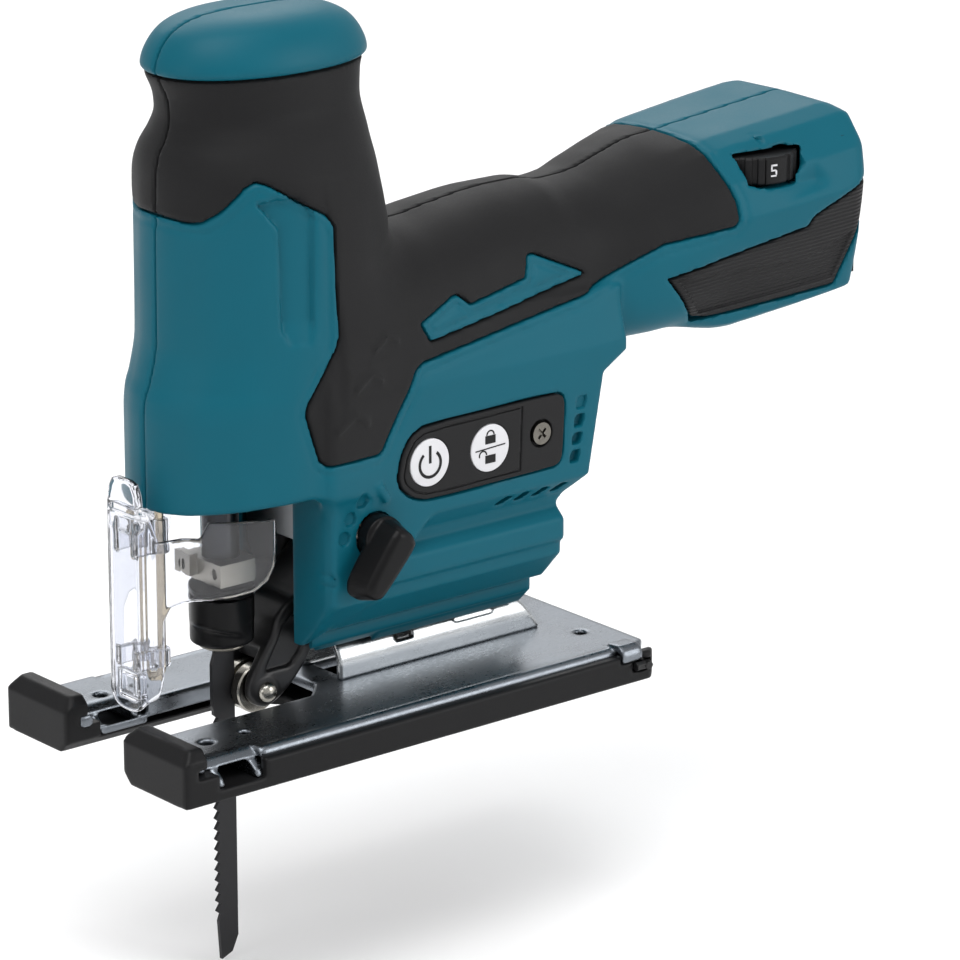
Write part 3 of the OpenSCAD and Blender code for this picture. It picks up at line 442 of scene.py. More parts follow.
def motor_body(x: Array, y: Array, z: Array) -> Array:
    """Motor body with its slanted foot and stepped lower flank."""
    side = polygon(x, z, BODY_SIDE)
    plan = polygon(x, np.abs(y), BODY_PLAN)
    plain = polygon(np.abs(y), z, FOOT_PLAIN)
    stepped = polygon(np.abs(y), z, FOOT_STEPPED)
    mix = ramp(x - 0.9 * (z - 52), 40.5, 44)
    section = plain + mix * (stepped - plain)
    lobe = smooth_max(disc(x, z, (13, 31.5), 5.2), slab(np.abs(y), 12, 23), 1.5)
    lobe = smooth_max(lobe, plain + 0.2, 1.5)
    trunk = smooth_max(smooth_max(side, plan, 1.6), section, 1.6)
    trunk = smooth_min(trunk, lobe, 2.0)
    lip = polygon(np.abs(y), z, ((9.7, 20.6), (15, 24.4), (15, 28), (9.7, 28)))
    deep = polygon(np.abs(y), z, ((9.7, 19.4), (13.4, 22.9), (13.4, 28), (9.7, 28)))
    lips = np.minimum(np.maximum(lip, slab(x, 19, 96)), np.maximum(deep, slab(x, 43, 96)))
    return smooth_min(trunk, lips, 0.6)


def skirted_barrel(x: Array, y: Array, z: Array) -> Array:
    """Barrel closed by its slanted lower edge and by the cap's rim."""
    skirt = 68.4 + 3.0 * (y / 28) ** 2
    return smooth_max(smooth_max(barrel(x, y, z), skirt - z, 1.2), z - (CAP_RIM + 1), 0.6)


def outer(x: Array, y: Array, z: Array) -> Array:
    """Whole outside of the housing, cap and grip together."""
    column = skirted_barrel(x, y, z)
    rear = smooth_min(handle(x, y, z), motor_body(x, y, z), 3.0)
    joined = smooth_min(column, rear, 7.0)
    recess = extrude(polygon(x, z, ((-5, 153), (0.3, 146), (0.9, 119), (3, 115), (8, 115), (9.2, 119),
                                    (9.3, 149), (5, 154))), np.abs(y), 10, 60, 1.0)
    floor = np.maximum(recess, -(column + 1.9 * ramp(z, 112, 122)))
    return without(joined, floor, 1.6)


GRIP_LINE = ((-40, 148.7), (-20.4, 148.4), (-17.2, 147.2), (-15.5, 147.3), (-12, 151), (-7.5, 157.2),
             (-5, 158.8), (-2.5, 157.9), (13.6, 148), (15.6, 145), (16.9, 115), (15.8, 111.5), (7, 97.5),
             (6.6, 95), (10.6, 82), (12.6, 80.3), (29.5, 80), (31.4, 81), (43.6, 100.5), (46, 102.2),
             (106, 109.8), (118, 114), (133, 119.6), (156, 121.8), (157.6, 123.6), (157.6, 128),
             (153.6, 140), (151.5, 152), (151.5, 175), (90, 175), (80, 184.1), (-40, 184.1))
ARROW = ((46.2, 112.6), (49.5, 107.2), (107.2, 114.8), (106.6, 116), (89.6, 123.6), (87.3, 123.4),
         (85.4, 117.8), (64.4, 114.6), (60.2, 118), (58.6, 117.8))


def grip_zone(x: Array, y: Array, z: Array) -> Array:
    """Signed distance, in the side view, to where the soft skin lies."""
    return np.maximum(polygon(x, z, GRIP_LINE), -polygon(x, z, ARROW))


PANEL = ((36.4, 72), (37.9, 78.5), (41, 83), (46, 85.4), (92, 85.8), (94.6, 84.6), (95.4, 82),
         (94.6, 67.5), (93.4, 65.2), (91, 64.3), (47, 63.7), (41.4, 65.4), (37.6, 68.6))
BATTERY_COVER = ((134.4, 109.6), (145.4, 95.2), (196.2, 98), (208, 127), (208, 130.4), (184.4, 120.6),
                 (182.4, 117.8))
DIAL = (173.5, -18.2, 135.2)
POCKET = ((158.6, 140.2), (184.5, 144.8), (196.4, 134), (197, 130.6), (161.4, 124.6))
WINDOW = ((161.6, 138.9), (181.6, 141.2), (182.9, 134), (162.8, 130.4))


def rounded(points: Sequence[Point], steps: int = 1) -> list[Point]:
    """Cuts the corners of an outline so that it reads as moulded."""
    loop = np.array(points, float)
    for _ in range(steps):
        following = np.roll(loop, -1, axis=0)
        loop = np.stack([0.82 * loop + 0.18 * following, 0.18 * loop + 0.82 * following], 1).reshape(-1, 2)
    return [tuple(p) for p in loop]


def left_features(shape: Array, x: Array, y: Array, z: Array) -> Array:
    """Recesses that only the left half has: panel, wheel, lever and marks."""
    depth = -y
    shape = without(shape, extrude(polygon(x, z, rounded(PANEL)), depth, 28.4, 60, 0.2), 0.7)
    pocket = polygon(x, z, POCKET)
    ledge = 31.4 + np.maximum(0, (x - 186) * 0.5) + np.maximum(0, (131 - z) * 0.55)
    shape = without(shape, smooth_max(pocket, ledge - depth, 0.8), 0.9)
    shape = without(shape, extrude(polygon(x, z, rounded(WINDOW)), depth, 20, 60, 0.3), 0.7)
    wheel = extrude(disc(x, y, DIAL[:2], 13.8), z, DIAL[2] - 5, DIAL[2] + 5, 0.4)
    shape = without(shape, wheel, 0.4)
    for u, v in ((24.5, 68.2), (20.6, 63.9), (18.6, 58.9)):
        pit = smooth_max(disc(x, z, (u, v), 1.95), -(shape + 1.1), 0.2)
        shape = without(shape, pit, 0.25)
    ring = np.abs(disc(x, z, (14.6, 47.2), 1.6)) - 0.35
    shape = without(shape, np.maximum(ring, -(shape + 0.6)), 0.2)
    bar = polygon(x, z, ((28.3, 71.6), (30.6, 72.3), (33.8, 67.2), (31.6, 66.2)))
    shape = smooth_min(shape, extrude(bar, depth, 26, 31.9, 0.6), 0.4)
    pointer = polygon(x, z, ((170.2, 143.2), (173.4, 143.2), (171.9, 141.1)))
    shape = without(shape, np.maximum(pointer, -(shape + 0.9)), 0.3)
    return without(shape, extrude(disc(x, z, (29, 58), 6.3), depth, 27, 60, 0.2), 0.5)


def shared_features(shape: Array, x: Array, y: Array, z: Array) -> Array:
    """Openings and recesses that both halves have, on the -Y side."""
    depth = np.abs(y)
    for row in range(4):
        low = 64.4 + 5 * row
        top = 27.8 if row < 3 else 29.2
        vent = polygon(x, z, ((97 + 0.75 * row, low), (100.2 + 0.75 * row, low),
                              (100.8 + 0.75 * row, low + 3.3), (97.6 + 0.75 * row, low + 3.3)))
        shape = without(shape, extrude(vent, depth, top, 60, 0.1), 0.4)
    for column in range(4):
        start = 71.6 + 6.5 * column
        vent = polygon(x, z, ((start, 56.7), (start + 3.1, 58.9), (start + 6, 58.9), (start + 2.9, 56.7)))
        shape = without(shape, extrude(vent, depth, 24, 60, 0.1), 0.4)
    cover = polygon(x, z, BATTERY_COVER) - 0.25
    shape = without(shape, smooth_max(cover, -(shape + 2.6), 0.3), 0.6)
    bay = smooth_max(smooth_max(barrel(x, y, z) + 3.4, z - 86, 2), x - 14, 2)
    shape = without(shape, bay, 0.8)
    tunnel = smooth_max(disc(y, z, (0, 13.5), 10.6), -x, 0.5)
    shape = without(shape, tunnel, 0.8)
    front_gap = block(x, y, z, (0, -13, 20), (23, 13, 73), 1.0)
    return without(shape, front_gap, 0.8)


def half_cut(shape: Array, y: Array) -> Array:
    """Ends a left half just short of the parting plane."""
    return smooth_max(shape, y + 0.12, 0.5)


def housing_field(left: bool) -> Field:
    """Hard shell of one half, as if it were the left one."""

    def field(x: Array, y: Array, z: Array) -> Array:
        skin = outer(x, y, z)
        zone = grip_zone(x, y, z)
        wall = -(skin + 3.2)
        lid = cap(x, y, z)
        shell = smooth_max(skin, -(zone - 0.18), 0.7)
        under = np.maximum(np.maximum(skin + 2.4, -(zone + 5)), zone - 1)
        shell = np.minimum(shell, under)
        shell = smooth_max(shell, z - (CAP_RIM + 0.6), 0.4)
        grooves = np.exp(-(((zone - 2.4) / 0.55) ** 2)) * (z < 182)
        grooves = grooves + 0.8 * np.exp(-(((polygon(x, z, ARROW) + 2.0) / 0.5) ** 2))
        shell = shell + 0.34 * grooves * (skin > -1.5)
        if left:
            skin = left_features(shell, x, y, z)
        else:
            skin = shell
        skin = shared_features(skin, x, y, z)
        hollow = np.maximum(skin, wall)
        frame = np.minimum(hollow, np.maximum(skin, block(x, y, z, (30, -33, 60), (98, -25.8, 92))))
        pocket_back = np.maximum(skin, block(x, y, z, (156, -40, 120), (200, -28, 148)))
        frame = np.minimum(frame, pocket_back)
        jaw = np.maximum(skin, block(x, y, z, (6, -32, 22), (17.5, -12.8, 76)))
        frame = np.minimum(frame, jaw)
        cover_back = np.maximum(skin, block(x, y, z, (130, -36, 90), (210, -26, 134)))
        frame = np.minimum(frame, cover_back)
        dome = np.maximum(lid, -(lid + 3.0))
        dome = np.maximum(dome, CAP_RIM - z)
        frame = np.minimum(frame, dome)
        return half_cut(frame, y)

    return field


def grip_field(x: Array, y: Array, z: Array) -> Array:
    """Soft skin of one half, as if it were the left one."""
    skin = outer(x, y, z)
    zone = grip_zone(x, y, z)
    soft = smooth_max(skin - 0.05, zone + 0.18, 0.9)
    for u, v, size in ((33, 112.4, 1.0), (26.2, 103.2, 1.1), (20.4, 93.2, 1.25)):
        chevron = (z - v) + 0.62 * np.abs(x - u - 0.6)
        reach = ramp(np.abs(x - u), 5.2 * size, 4.2 * size)
        soft = soft - 0.6 * reach * np.exp(-((chevron / (0.95 * size)) ** 2)) * (skin > -1.5)
    soft = np.maximum(soft, -(skin + 2.3))
    return half_cut(soft, y)


# ---- materials ----------------------------------------------------------


def linear(code: str) -> tuple[float, float, float, float]:
    """Linear colour of an sRGB hex code."""
    parts = [int(code[i : i + 2], 16) / 255 for i in (1, 3, 5)]
    return (*[c / 12.92 if c <= 0.04045 else ((c + 0.055) / 1.055) ** 2.4 for c in parts], 1.0)


@dataclass(frozen=True)
class Finish:
    """A procedural surface.

    Attributes:
        name: Real material that it stands for.
        colour: Base colour as an sRGB hex code.
        roughness: Mean roughness.
        metallic: 1 for bare metal.
        grain: Size of the surface grain in millimetres.
        bump: Height of the grain in millimetres.
        stretch: How much the grain is drawn out along X.
        patch: Size of the colour and sheen variation in millimetres.
        tint: Share of brightness that varies.
        spread: Share of roughness that varies.
        bevel: Radius in millimetres that softens CAD edges.
        sheen: Fuzz of an elastomer.
        coat: Clear lacquer.
        ribs: Pitch in millimetres of moulded ribs, 0 for none.
        gloss: Strength of the mirror part on plastics.
    """

    name: str
    colour: str
    roughness: float
    metallic: float = 0.0
    grain: float = 0.35
    bump: float = 0.02
    stretch: float = 1.0
    patch: float = 18.0
    tint: float = 0.06
    spread: float = 0.15
    bevel: float = 0.0
    sheen: float = 0.0
    coat: float = 0.0
    ribs: float = 0.0
    gloss: float = 0.15


def build(finish: Finish) -> bpy.types.Material:
    """Makes the node material of a finish."""
    material = bpy.data.materials.new(finish.name)
    material.use_nodes = True
    tree = material.node_tree
    nodes, links = tree.nodes, tree.links
    shader = nodes["Principled BSDF"]
    shader.inputs["Metallic"].default_value = finish.metallic
    shader.inputs["Sheen Weight"].default_value = finish.sheen
    shader.inputs["Specular IOR Level"].default_value = 0.5 if finish.metallic else finish.gloss
    shader.inputs["Coat Weight"].default_value = finish.coat
    shader.inputs["Coat Roughness"].default_value = 0.15
    place = nodes.new("ShaderNodeTexCoord")
    mapping = nodes.new("ShaderNodeMapping")
    mapping.inputs["Scale"].default_value = (1 / finish.stretch, 1, 1)
    links.new(place.outputs["Object"], mapping.inputs["Vector"])

    def noise(size_mm: float, detail: float, vector) -> bpy.types.Node:
        node = nodes.new("ShaderNodeTexNoise")
        node.inputs["Scale"].default_value = 1 / (size_mm * MM)
        node.inputs["Detail"].default_value = detail
        links.new(vector, node.inputs["Vector"])
        return node

    cloud = noise(finish.patch, 5, place.outputs["Object"])
    fine = noise(finish.grain, 2, mapping.outputs["Vector"])
    ramp_node = nodes.new("ShaderNodeMix")
    ramp_node.data_type = "RGBA"
    base = linear(finish.colour)
    low = tuple(c * (1 - finish.tint) for c in base[:3]) + (1,)
    high = tuple(min(1, c * (1 + finish.tint)) for c in base[:3]) + (1,)
    ramp_node.inputs["A"].default_value = low
    ramp_node.inputs["B"].default_value = high
    links.new(cloud.outputs["Fac"], ramp_node.inputs["Factor"])
    links.new(ramp_node.outputs["Result"], shader.inputs["Base Color"])
    blend = nodes.new("ShaderNodeMath")
    blend.operation = "ADD"
    links.new(cloud.outputs["Fac"], blend.inputs[0])
    links.new(fine.outputs["Fac"], blend.inputs[1])
    rough = nodes.new("ShaderNodeMapRange")
    rough.inputs["From Min"].default_value = 0.6
    rough.inputs["From Max"].default_value = 1.4
    rough.inputs["To Min"].default_value = max(0.03, finish.roughness * (1 - finish.spread))
    rough.inputs["To Max"].default_value = min(1, finish.roughness * (1 + finish.spread))
    links.new(blend.outputs["Value"], rough.inputs["Value"])
    links.new(rough.outputs["Result"], shader.inputs["Roughness"])
    bump = nodes.new("ShaderNodeBump")
    bump.inputs["Distance"].default_value = finish.bump * MM
    bump.inputs["Strength"].default_value = 1.0
    links.new(fine.outputs["Fac"], bump.inputs["Height"])
    if finish.bevel:
        bevel = nodes.new("ShaderNodeBevel")
        bevel.samples = 4
        bevel.inputs["Radius"].default_value = finish.bevel * MM
        links.new(bevel.outputs["Normal"], bump.inputs["Normal"])
    if finish.ribs:
        wave = nodes.new("ShaderNodeTexWave")
        wave.bands_direction = "Z"
        wave.inputs["Scale"].default_value = 0.314 / (finish.ribs * MM)
        tilt = nodes.new("ShaderNodeMapping")
        tilt.inputs["Rotation"].default_value = (0, math.radians(3.5), 0)
        links.new(place.outputs["Object"], tilt.inputs["Vector"])
        links.new(tilt.outputs["Vector"], wave.inputs["Vector"])
        comb = nodes.new("ShaderNodeBump")
        comb.inputs["Distance"].default_value = 0.35 * MM
        links.new(wave.outputs["Fac"], comb.inputs["Height"])
        links.new(bump.outputs["Normal"], comb.inputs["Normal"])
        links.new(comb.outputs["Normal"], shader.inputs["Normal"])
    else:
        links.new(bump.outputs["Normal"], shader.inputs["Normal"])
    return material


def clear_plastic(name: str, colour: str) -> bpy.types.Material:
    """Clear moulded plastic with faint waviness and hazy patches."""
    material = build(Finish(name, colour, 0.06, grain=6, bump=0.02, patch=25, spread=0.6, tint=0.01, gloss=0.5))
    shader = material.node_tree.nodes["Principled BSDF"]
    shader.inputs["Transmission Weight"].default_value = 1.0
    shader.inputs["IOR"].default_value = 1.42
    return material


FINISHES = {
    # hard moulded nylon of the housing
    "shell": Finish("nylon_shell", "#035363", 0.46, grain=0.3, bump=0.012, tint=0.05),
    # soft elastomer moulded over the handle
    "grip": Finish("elastomer_skin", "#171718", 0.6, grain=0.28, bump=0.02, tint=0.08, sheen=0.03),
    # black glass-filled nylon
    "black": Finish("black_nylon", "#161617", 0.45, grain=0.3, bump=0.015, tint=0.08, bevel=0.4),
    "panel": Finish("panel_plastic", "#1b1b1c", 0.5, grain=0.25, bump=0.01),
    "guardplate": Finish("ribbed_nylon", "#1e1e1f", 0.5, grain=0.3, bump=0.01, ribs=1.15),
    # black moulded sole and bumpers
    "sole": Finish("sole_nylon", "#141415", 0.42, grain=0.5, bump=0.02, tint=0.1, bevel=0.5),
    "key": Finish("printed_key_white", "#cfcfd2", 0.35, grain=0.3, bump=0.005, tint=0.02, spread=0.1),
    "ink": Finish("printed_key_black", "#1b1b1c", 0.4, grain=0.3, bump=0.003),
    "lever": Finish("lever_nylon", "#0c0c0d", 0.34, grain=0.5, bump=0.01, tint=0.1),
    # zinc plated sheet with faint clouding
    "zinc": Finish("zinc_plate", "#777c82", 0.3, metallic=1.0, grain=0.5, bump=0.01, stretch=3,
                   patch=14, tint=0.22, spread=0.35, bevel=0.6),
    # bright rolled and formed sheet
    "bright": Finish("bright_sheet", "#abaeb0", 0.24, metallic=1.0, grain=0.3, bump=0.01, stretch=14,
                     patch=10, tint=0.1, spread=0.3, bevel=0.4),
    "cast": Finish("die_cast_aluminium", "#9b9d9f", 0.45, metallic=1.0, grain=0.6, bump=0.03, bevel=0.4),
    "sinter": Finish("sintered_steel", "#9a968d", 0.38, metallic=1.0, grain=0.35, bump=0.02,
                     tint=0.12, bevel=0.35),
    "ground": Finish("ground_steel", "#a7a49c", 0.25, metallic=1.0, grain=0.2, bump=0.004, stretch=6,
                     bevel=0.2),
    "rod": Finish("dark_ground_rod", "#3b3c3e", 0.25, metallic=1.0, grain=0.2, bump=0.006, patch=6,
                  tint=0.2, bevel=0.2),
    "wire": Finish("drawn_wire", "#b6ab97", 0.22, metallic=1.0, grain=0.3, bump=0.004, patch=5, tint=0.15),
    "screw": Finish("plated_screw", "#6d6a64", 0.32, metallic=1.0, grain=0.3, bump=0.01, patch=2,
                    tint=0.3, bevel=0.15),
    "oxide": Finish("black_oxide_steel", "#1d1d1e", 0.33, metallic=0.4, grain=0.6, bump=0.02, patch=6,
                    tint=0.25, bevel=0.5),
    "blade": Finish("black_blade_lacquer", "#17171a", 0.4, metallic=0.3, grain=0.3, bump=0.01, patch=5,
                    tint=0.3, spread=0.3),
    "copper": Finish("enamelled_copper", "#8a4a22", 0.3, metallic=1.0, grain=0.4, bump=0.05),
    "brass": Finish("brass_contact", "#b58f4a", 0.28, metallic=1.0, grain=0.3, bump=0.005),
    "board": Finish("circuit_board", "#1d4a2b", 0.35, grain=0.4, bump=0.01),
    "lead": Finish("lead_insulation", "#7d1418", 0.45, grain=0.4, bump=0.01),
    "laminated": Finish("laminated_core", "#56585b", 0.5, metallic=0.8, grain=0.5, bump=0.03),
}

CAD_FINISH = {
    "battery_mount": "black", "terminal_contacts": "brass", "battery_leads": "lead",
    "switch_board": "board", "dial_holder": "black", "control_box": "black",
    "motor_stator": "laminated", "stator_coils": "copper", "front_bearing": "ground",
    "rear_bearing": "ground", "rotor_core": "laminated", "rotor_shaft": "ground",
    "cooling_fan": "black", "gear_housing": "cast", "gear_axle": "ground", "crank_gear": "sinter",
    "crank_roller": "ground", "holder_pins": "ground", "plunger_holder": "rod",
    "plunger_bushes": "brass", "plunger_rod": "rod", "drive_yoke": "sinter",
    "clamp_block": "sinter", "clamp_cap": "sinter", "clamp_sleeve": "lever", "blade": "blade",
    "guide_arm": "oxide", "arm_pin": "ground", "roller_pin": "ground", "guide_roller": "ground",
    "orbit_lever": "lever", "lever_shaft": "ground", "wire_guard": "wire", "panel_screw": "screw",
    "housing_screws": "screw", "base_bolt": "screw", "base_plate": "zinc", "tilt_bracket": "bright",
    "base_cover": "sole", "hex_wrench": "oxide", "speed_dial": "black", "power_button": "key",
    "lock_button": "key", "switch_panel": "panel", "battery_guard_left": "guardplate",
    "battery_guard_right": "guardplate",
}


def dress_cad(frame: dict, materials: dict[str, bpy.types.Material]) -> None:
    """Gives every CAD node its procedural material."""
    for node, obj in frame["nodes"].items():
        key = CAD_FINISH.get(node)
        chosen = materials[key] if key else None
        if node in ("dust_guard", "led_lens"):
            chosen = materials["clear"]
        if chosen is None:
            chosen = materials["shell" if node.startswith("housing") else "grip"]
        for slot in obj.material_slots:
            slot.material = chosen


# ---- pieces -------------------------------------------------------------

BODY_BOX = Lattice((-29.3, -38.3, 18.2), (209.5, 0.9, 201.3), 0.75)


def add_shells(materials: dict[str, bpy.types.Material]) -> None:
    """Housing halves and their soft skins."""
    for left in (True, False):
        side = "left" if left else "right"
        carve(f"housing_shell_{side}", housing_field(left), BODY_BOX, materials["shell"], Body.ROOT,
              [f"housing_{side}"], mirror=not left)
        carve(f"grip_skin_{side}", grip_field, Lattice((-29.3, -35.3, 76.2), (162, 0.9, 187), 0.75),
              materials["grip"], Body.ROOT, [f"grip_{side}"], mirror=not left)


def battery_cover_field(x: Array, y: Array, z: Array) -> Array:
    """Side plate over the battery rails, with a raised border."""
    skin = outer(x, y, z)
    plate = smooth_max(skin + 0.25, polygon(x, z, BATTERY_COVER) + 0.25, 0.6)
    plate = smooth_max(plate, x - 206.2, 0.5)
    field_area = polygon(x, z, ((137.5, 109), (147, 97.5), (194.8, 101), (200, 113.6), (184, 107.6)))
    plate = without(plate, np.maximum(field_area, -(skin + 0.75)), 0.4)
    return np.maximum(plate, -(skin + 2.5))


def panel_field(x: Array, y: Array, z: Array) -> Array:
    """Switch panel: membrane field, screw field and rim."""
    depth = -y
    plate = extrude(polygon(x, z, rounded(PANEL)) + 0.45, depth, 27, 30.6, 0.5)
    membrane = np.abs(polygon(x, z, rounded(PANEL)) + 2.0) - 0.2
    seam = np.where(x < 79, membrane, 9)
    divider = np.maximum(np.abs(x - 79.2 - 0.04 * (z - 74)) - 0.3, polygon(x, z, PANEL) + 1.6)
    plate = without(plate, np.maximum(np.minimum(seam, divider), 30.1 - depth), 0.25)
    plate = without(plate, extrude(disc(x, z, (86.4, 75.2), 3.9), depth, 28.6, 60, 0.1), 0.4)
    for u in (47.3, 68.2):
        plate = without(plate, extrude(disc(x, z, (u, 74.6), 6.78), depth, 20, 60, 0.05), 0.2)
    return plate


def flat_prisms(outlines: Sequence[Sequence[Point]], near: float, far: float) -> tuple[Array, Array]:
    """Thin prisms of star-shaped outlines in the side view, as quads and fans."""
    points: list[Point] = []
    faces: list[Sequence[int]] = []
    for outline in outlines:
        start, n = len(points), len(outline)
        points += [(u, near, v) for u, v in outline] + [(u, far, v) for u, v in outline]
        middle = np.mean(np.array(outline), axis=0)
        points += [(middle[0], near, middle[1])]
        for i in range(n):
            k = (i + 1) % n
            faces.append((start + i, start + k, start + n + k, start + n + i))
            faces.append((start + i, start + 2 * n, start + k, start + k))
    triangles = []
    for face in faces:
        triangles.append(face[:3])
        if face[2] != face[3]:
            triangles.append((face[0], face[2], face[3]))
    return np.array(points, float), np.array(triangles)


def arc(centre: Point, radius: float, width: float, start: float, end: float) -> list[list[Point]]:
    """Ring segment in the side view, cut into short quads."""
    steps = max(3, int(abs(end - start) / 8))
    angle = np.radians(np.linspace(start, end, steps + 1))
    out = [(centre[0] + (radius + width / 2) * math.cos(a), centre[1] + (radius + width / 2) * math.sin(a))
           for a in angle]
    inn = [(centre[0] + (radius - width / 2) * math.cos(a), centre[1] + (radius - width / 2) * math.sin(a))
           for a in angle]
    return [[out[i], out[i + 1], inn[i + 1], inn[i]] for i in range(steps)]


def rect(u0: float, u1: float, v0: float, v1: float) -> list[Point]:
    """Upright rectangle in the side view."""
    return [(u0, v0), (u1, v0), (u1, v1), (u0, v1)]


def add_keys(materials: dict[str, bpy.types.Material]) -> None:
    """Switch panel, its two printed keys and their symbols."""
    carve("panel_plate", panel_field, Lattice((35, -32, 62.4), (97, -26, 87), 0.3), materials["panel"],
          Body.ROOT, ["switch_panel"])
    for name, u, body, node in (("power", 47.3, Body.POWER, "power_button"),
                                ("lock", 68.2, Body.LOCK, "lock_button")):
        outline = [(0.02, 0), (6.2, 0), (6.55, 0.1), (6.62, 0.3), (6.62, 1.4), (0.02, 1.4)]
        lathe(f"{name}_disc", outline, "y", (u, -30.75, 74.6), materials["key"], body,
              [node], 96)
    near, far = -30.83, -30.70
    power = arc((47.3, 74.2), 3.6, 0.85, 128, 412)
    power.append(rect(46.87, 47.73, 74.4, 79.3))
    points, faces = flat_prisms(power, near, far)
    mesh_piece("power_symbol", points, faces, materials["ink"], Body.POWER)
    lock = [[(63.0, 74.25), (73.4, 74.75), (73.4, 75.1), (63.0, 74.6)], rect(66.4, 70.0, 75.9, 78.2)]
    lock += arc((68.2, 78.3), 1.25, 0.42, 0, 180)
    lock += [rect(66.4, 70.0, 70.4, 72.7)]
    lock += arc((65.6, 72.9), 1.25, 0.42, 0, 200)
    points, faces = flat_prisms(lock, near, far)
    mesh_piece("lock_symbol", points, faces, materials["ink"], Body.LOCK)


def lever_field(x: Array, y: Array, z: Array) -> Array:
    """Orbital lever: a fin on a round hub."""
    depth = -y
    fin = polygon(x, z, rounded(((27.0, 63.6), (31.4, 63.2), (35.0, 60.4), (36.6, 56), (24.2, 42.4),
                                 (20.4, 42.2), (16.4, 45.0), (16.6, 49.2)), 2))
    grip = extrude(fin + 0.25 * np.maximum(depth - 34, 0), depth, 32.4, 41.6, 1.8)
    hub = extrude(disc(x, z, (29, 58), 6.0), depth, 29.6, 34, 0.4)
    return smooth_min(grip, hub, 1.0)


def dial_radius(angle: Array, row: int) -> Array:
    """Ribbed rim of the speed wheel, with a smooth patch for its numeral."""
    facing = np.abs((angle - math.radians(-102) + math.pi) % (2 * math.pi) - math.pi)
    ribs = 1 - 0.045 * (np.sin(angle * 22) > 0.3) * (facing > 0.2)
    return ribs if row > 0 else np.ones_like(angle)


def add_controls(materials: dict[str, bpy.types.Material]) -> None:
    """Lever and speed wheel."""
    carve("lever_fin", lever_field, Lattice((13, -42.6, 41.5), (37.5, -28.6, 67), 0.32),
          materials["lever"], Body.LEVER, ["orbit_lever"])
    rim = [(0.2, -3.9), (12.5, -3.9), (13.0, -3.4), (13.0, 3.4), (12.5, 3.9), (0.2, 3.9)]
    lathe("speed_wheel", rim, "z", DIAL, materials["black"], Body.DIAL,
          ["speed_dial"], 352, dial_radius)
    strokes = [rect(-0.9, 0.9, 1.3, 1.75), rect(-0.9, -0.5, 0.2, 1.75), rect(-0.9, 0.6, 0.0, 0.4)]
    strokes += [[(0.3, 0.35), (0.85, 0.1), (0.85, -1.0), (0.45, -0.9)], rect(-0.9, 0.7, -1.4, -1.0)]
    points, faces = flat_prisms(strokes, 0, 0.12)
    turn = math.radians(-12)
    c, s = math.cos(turn), math.sin(turn)
    u, w, v = points[:, 0] * 1.1, points[:, 1], points[:, 2] * 1.1
    radius = 13.06 - w
    placed = np.stack([DIAL[0] + u * c + radius * s, DIAL[1] + u * s - radius * c, DIAL[2] + v], 1)
    mesh_piece("wheel_numeral", placed, faces, materials["key"], Body.DIAL)


def add_covers(materials: dict[str, bpy.types.Material]) -> None:
    """Ribbed plates at both sides of the battery end."""
    for side in ("left", "right"):
        carve(f"battery_plate_{side}", battery_cover_field, Lattice((132, -37.4, 93), (208.2, -26, 133), 0.4),
              materials["guardplate"], Body.ROOT, [f"battery_guard_{side}"],
              mirror=side == "right")


# ---- guard, base and blade guide ------------------------------------------

GUARD_PLAN = ((-32, -4), (-32, 5.8), (-31.3, 7.8), (-29.6, 8.9), (-24, 9.5), (-20, 10.1), (-17.6, 12.2),
              (-14.8, 16), (-10.3, 19.8), (-4.9, 22.8), (6, 25.2), (6, -4))
GUARD_SIDE = ((-40, 12), (-31, 13), (-27.5, 16.5), (-25.6, 24), (-25.2, 40), (-23.4, 43.2), (-12, 45.4),
              (-5.6, 47), (-1.6, 49.6), (0.3, 53.2), (0.9, 58), (0.9, 66.6), (-4, 67), (-14.6, 66.8),
              (-16.2, 62), (-26.6, 62), (-28.4, 67.4), (-30, 71.2), (-40, 71.8))
WIRE = (-23.0, 4.0)


def guard_field(x: Array, y: Array, z: Array) -> Array:
    """Clear guard: gutter before the wires, wings, wire eyes and lift tab."""
    side = np.abs(y)
    plan = polygon(x, side, GUARD_PLAN)
    sheet = smooth_max(plan, -(plan + 1.5), 0.5)
    sheet = smooth_max(sheet, polygon(x, z, GUARD_SIDE), 0.9)
    sheet = smooth_max(sheet, 14 + 7 * (np.minimum(side, 9.6) / 9.6) ** 3 - z, 0.9)
    tab = polygon(y, z, rounded(((-7, 64), (-6.7, 74.6), (-4.4, 78.6), (4.4, 78.6), (6.7, 74.6), (7, 64))))
    shape = smooth_min(sheet, extrude(tab, x, -32.2, -29.6, 1.0), 0.8)
    shape = smooth_min(shape, block(x, y, z, (-31, -7.6, 68), (-26.4, 7.6, 70.2), 0.9), 0.8)
    for low, high in ((57.6, 67), (25.8, 31)):
        eye = extrude(disc(x, side, WIRE, 2.45), z, low, high, 0.5)
        web = block(x, side, z, (-31.2, 3.1, low), (-24, 4.9, high), 0.4)
        shape = smooth_min(shape, smooth_min(eye, web, 0.5), 0.6)
    shape = smooth_min(shape, block(x, y, z, (-25.2, -4, 26.6), (-23.8, 4, 30.8), 0.5), 0.4)
    frame = np.abs(block(0 * x, y, z, (-1, -3.6, 18), (1, 3.6, 24.6), 0.4)) - 0.6
    shape = smooth_min(shape, np.maximum(frame, slab(x, -31.2, -28.4)), 0.5)
    return without(shape, disc(x, side, WIRE, 1.42), 0.3)


SOLE_X = (-42.6, 121.2)
GAP = 12.7


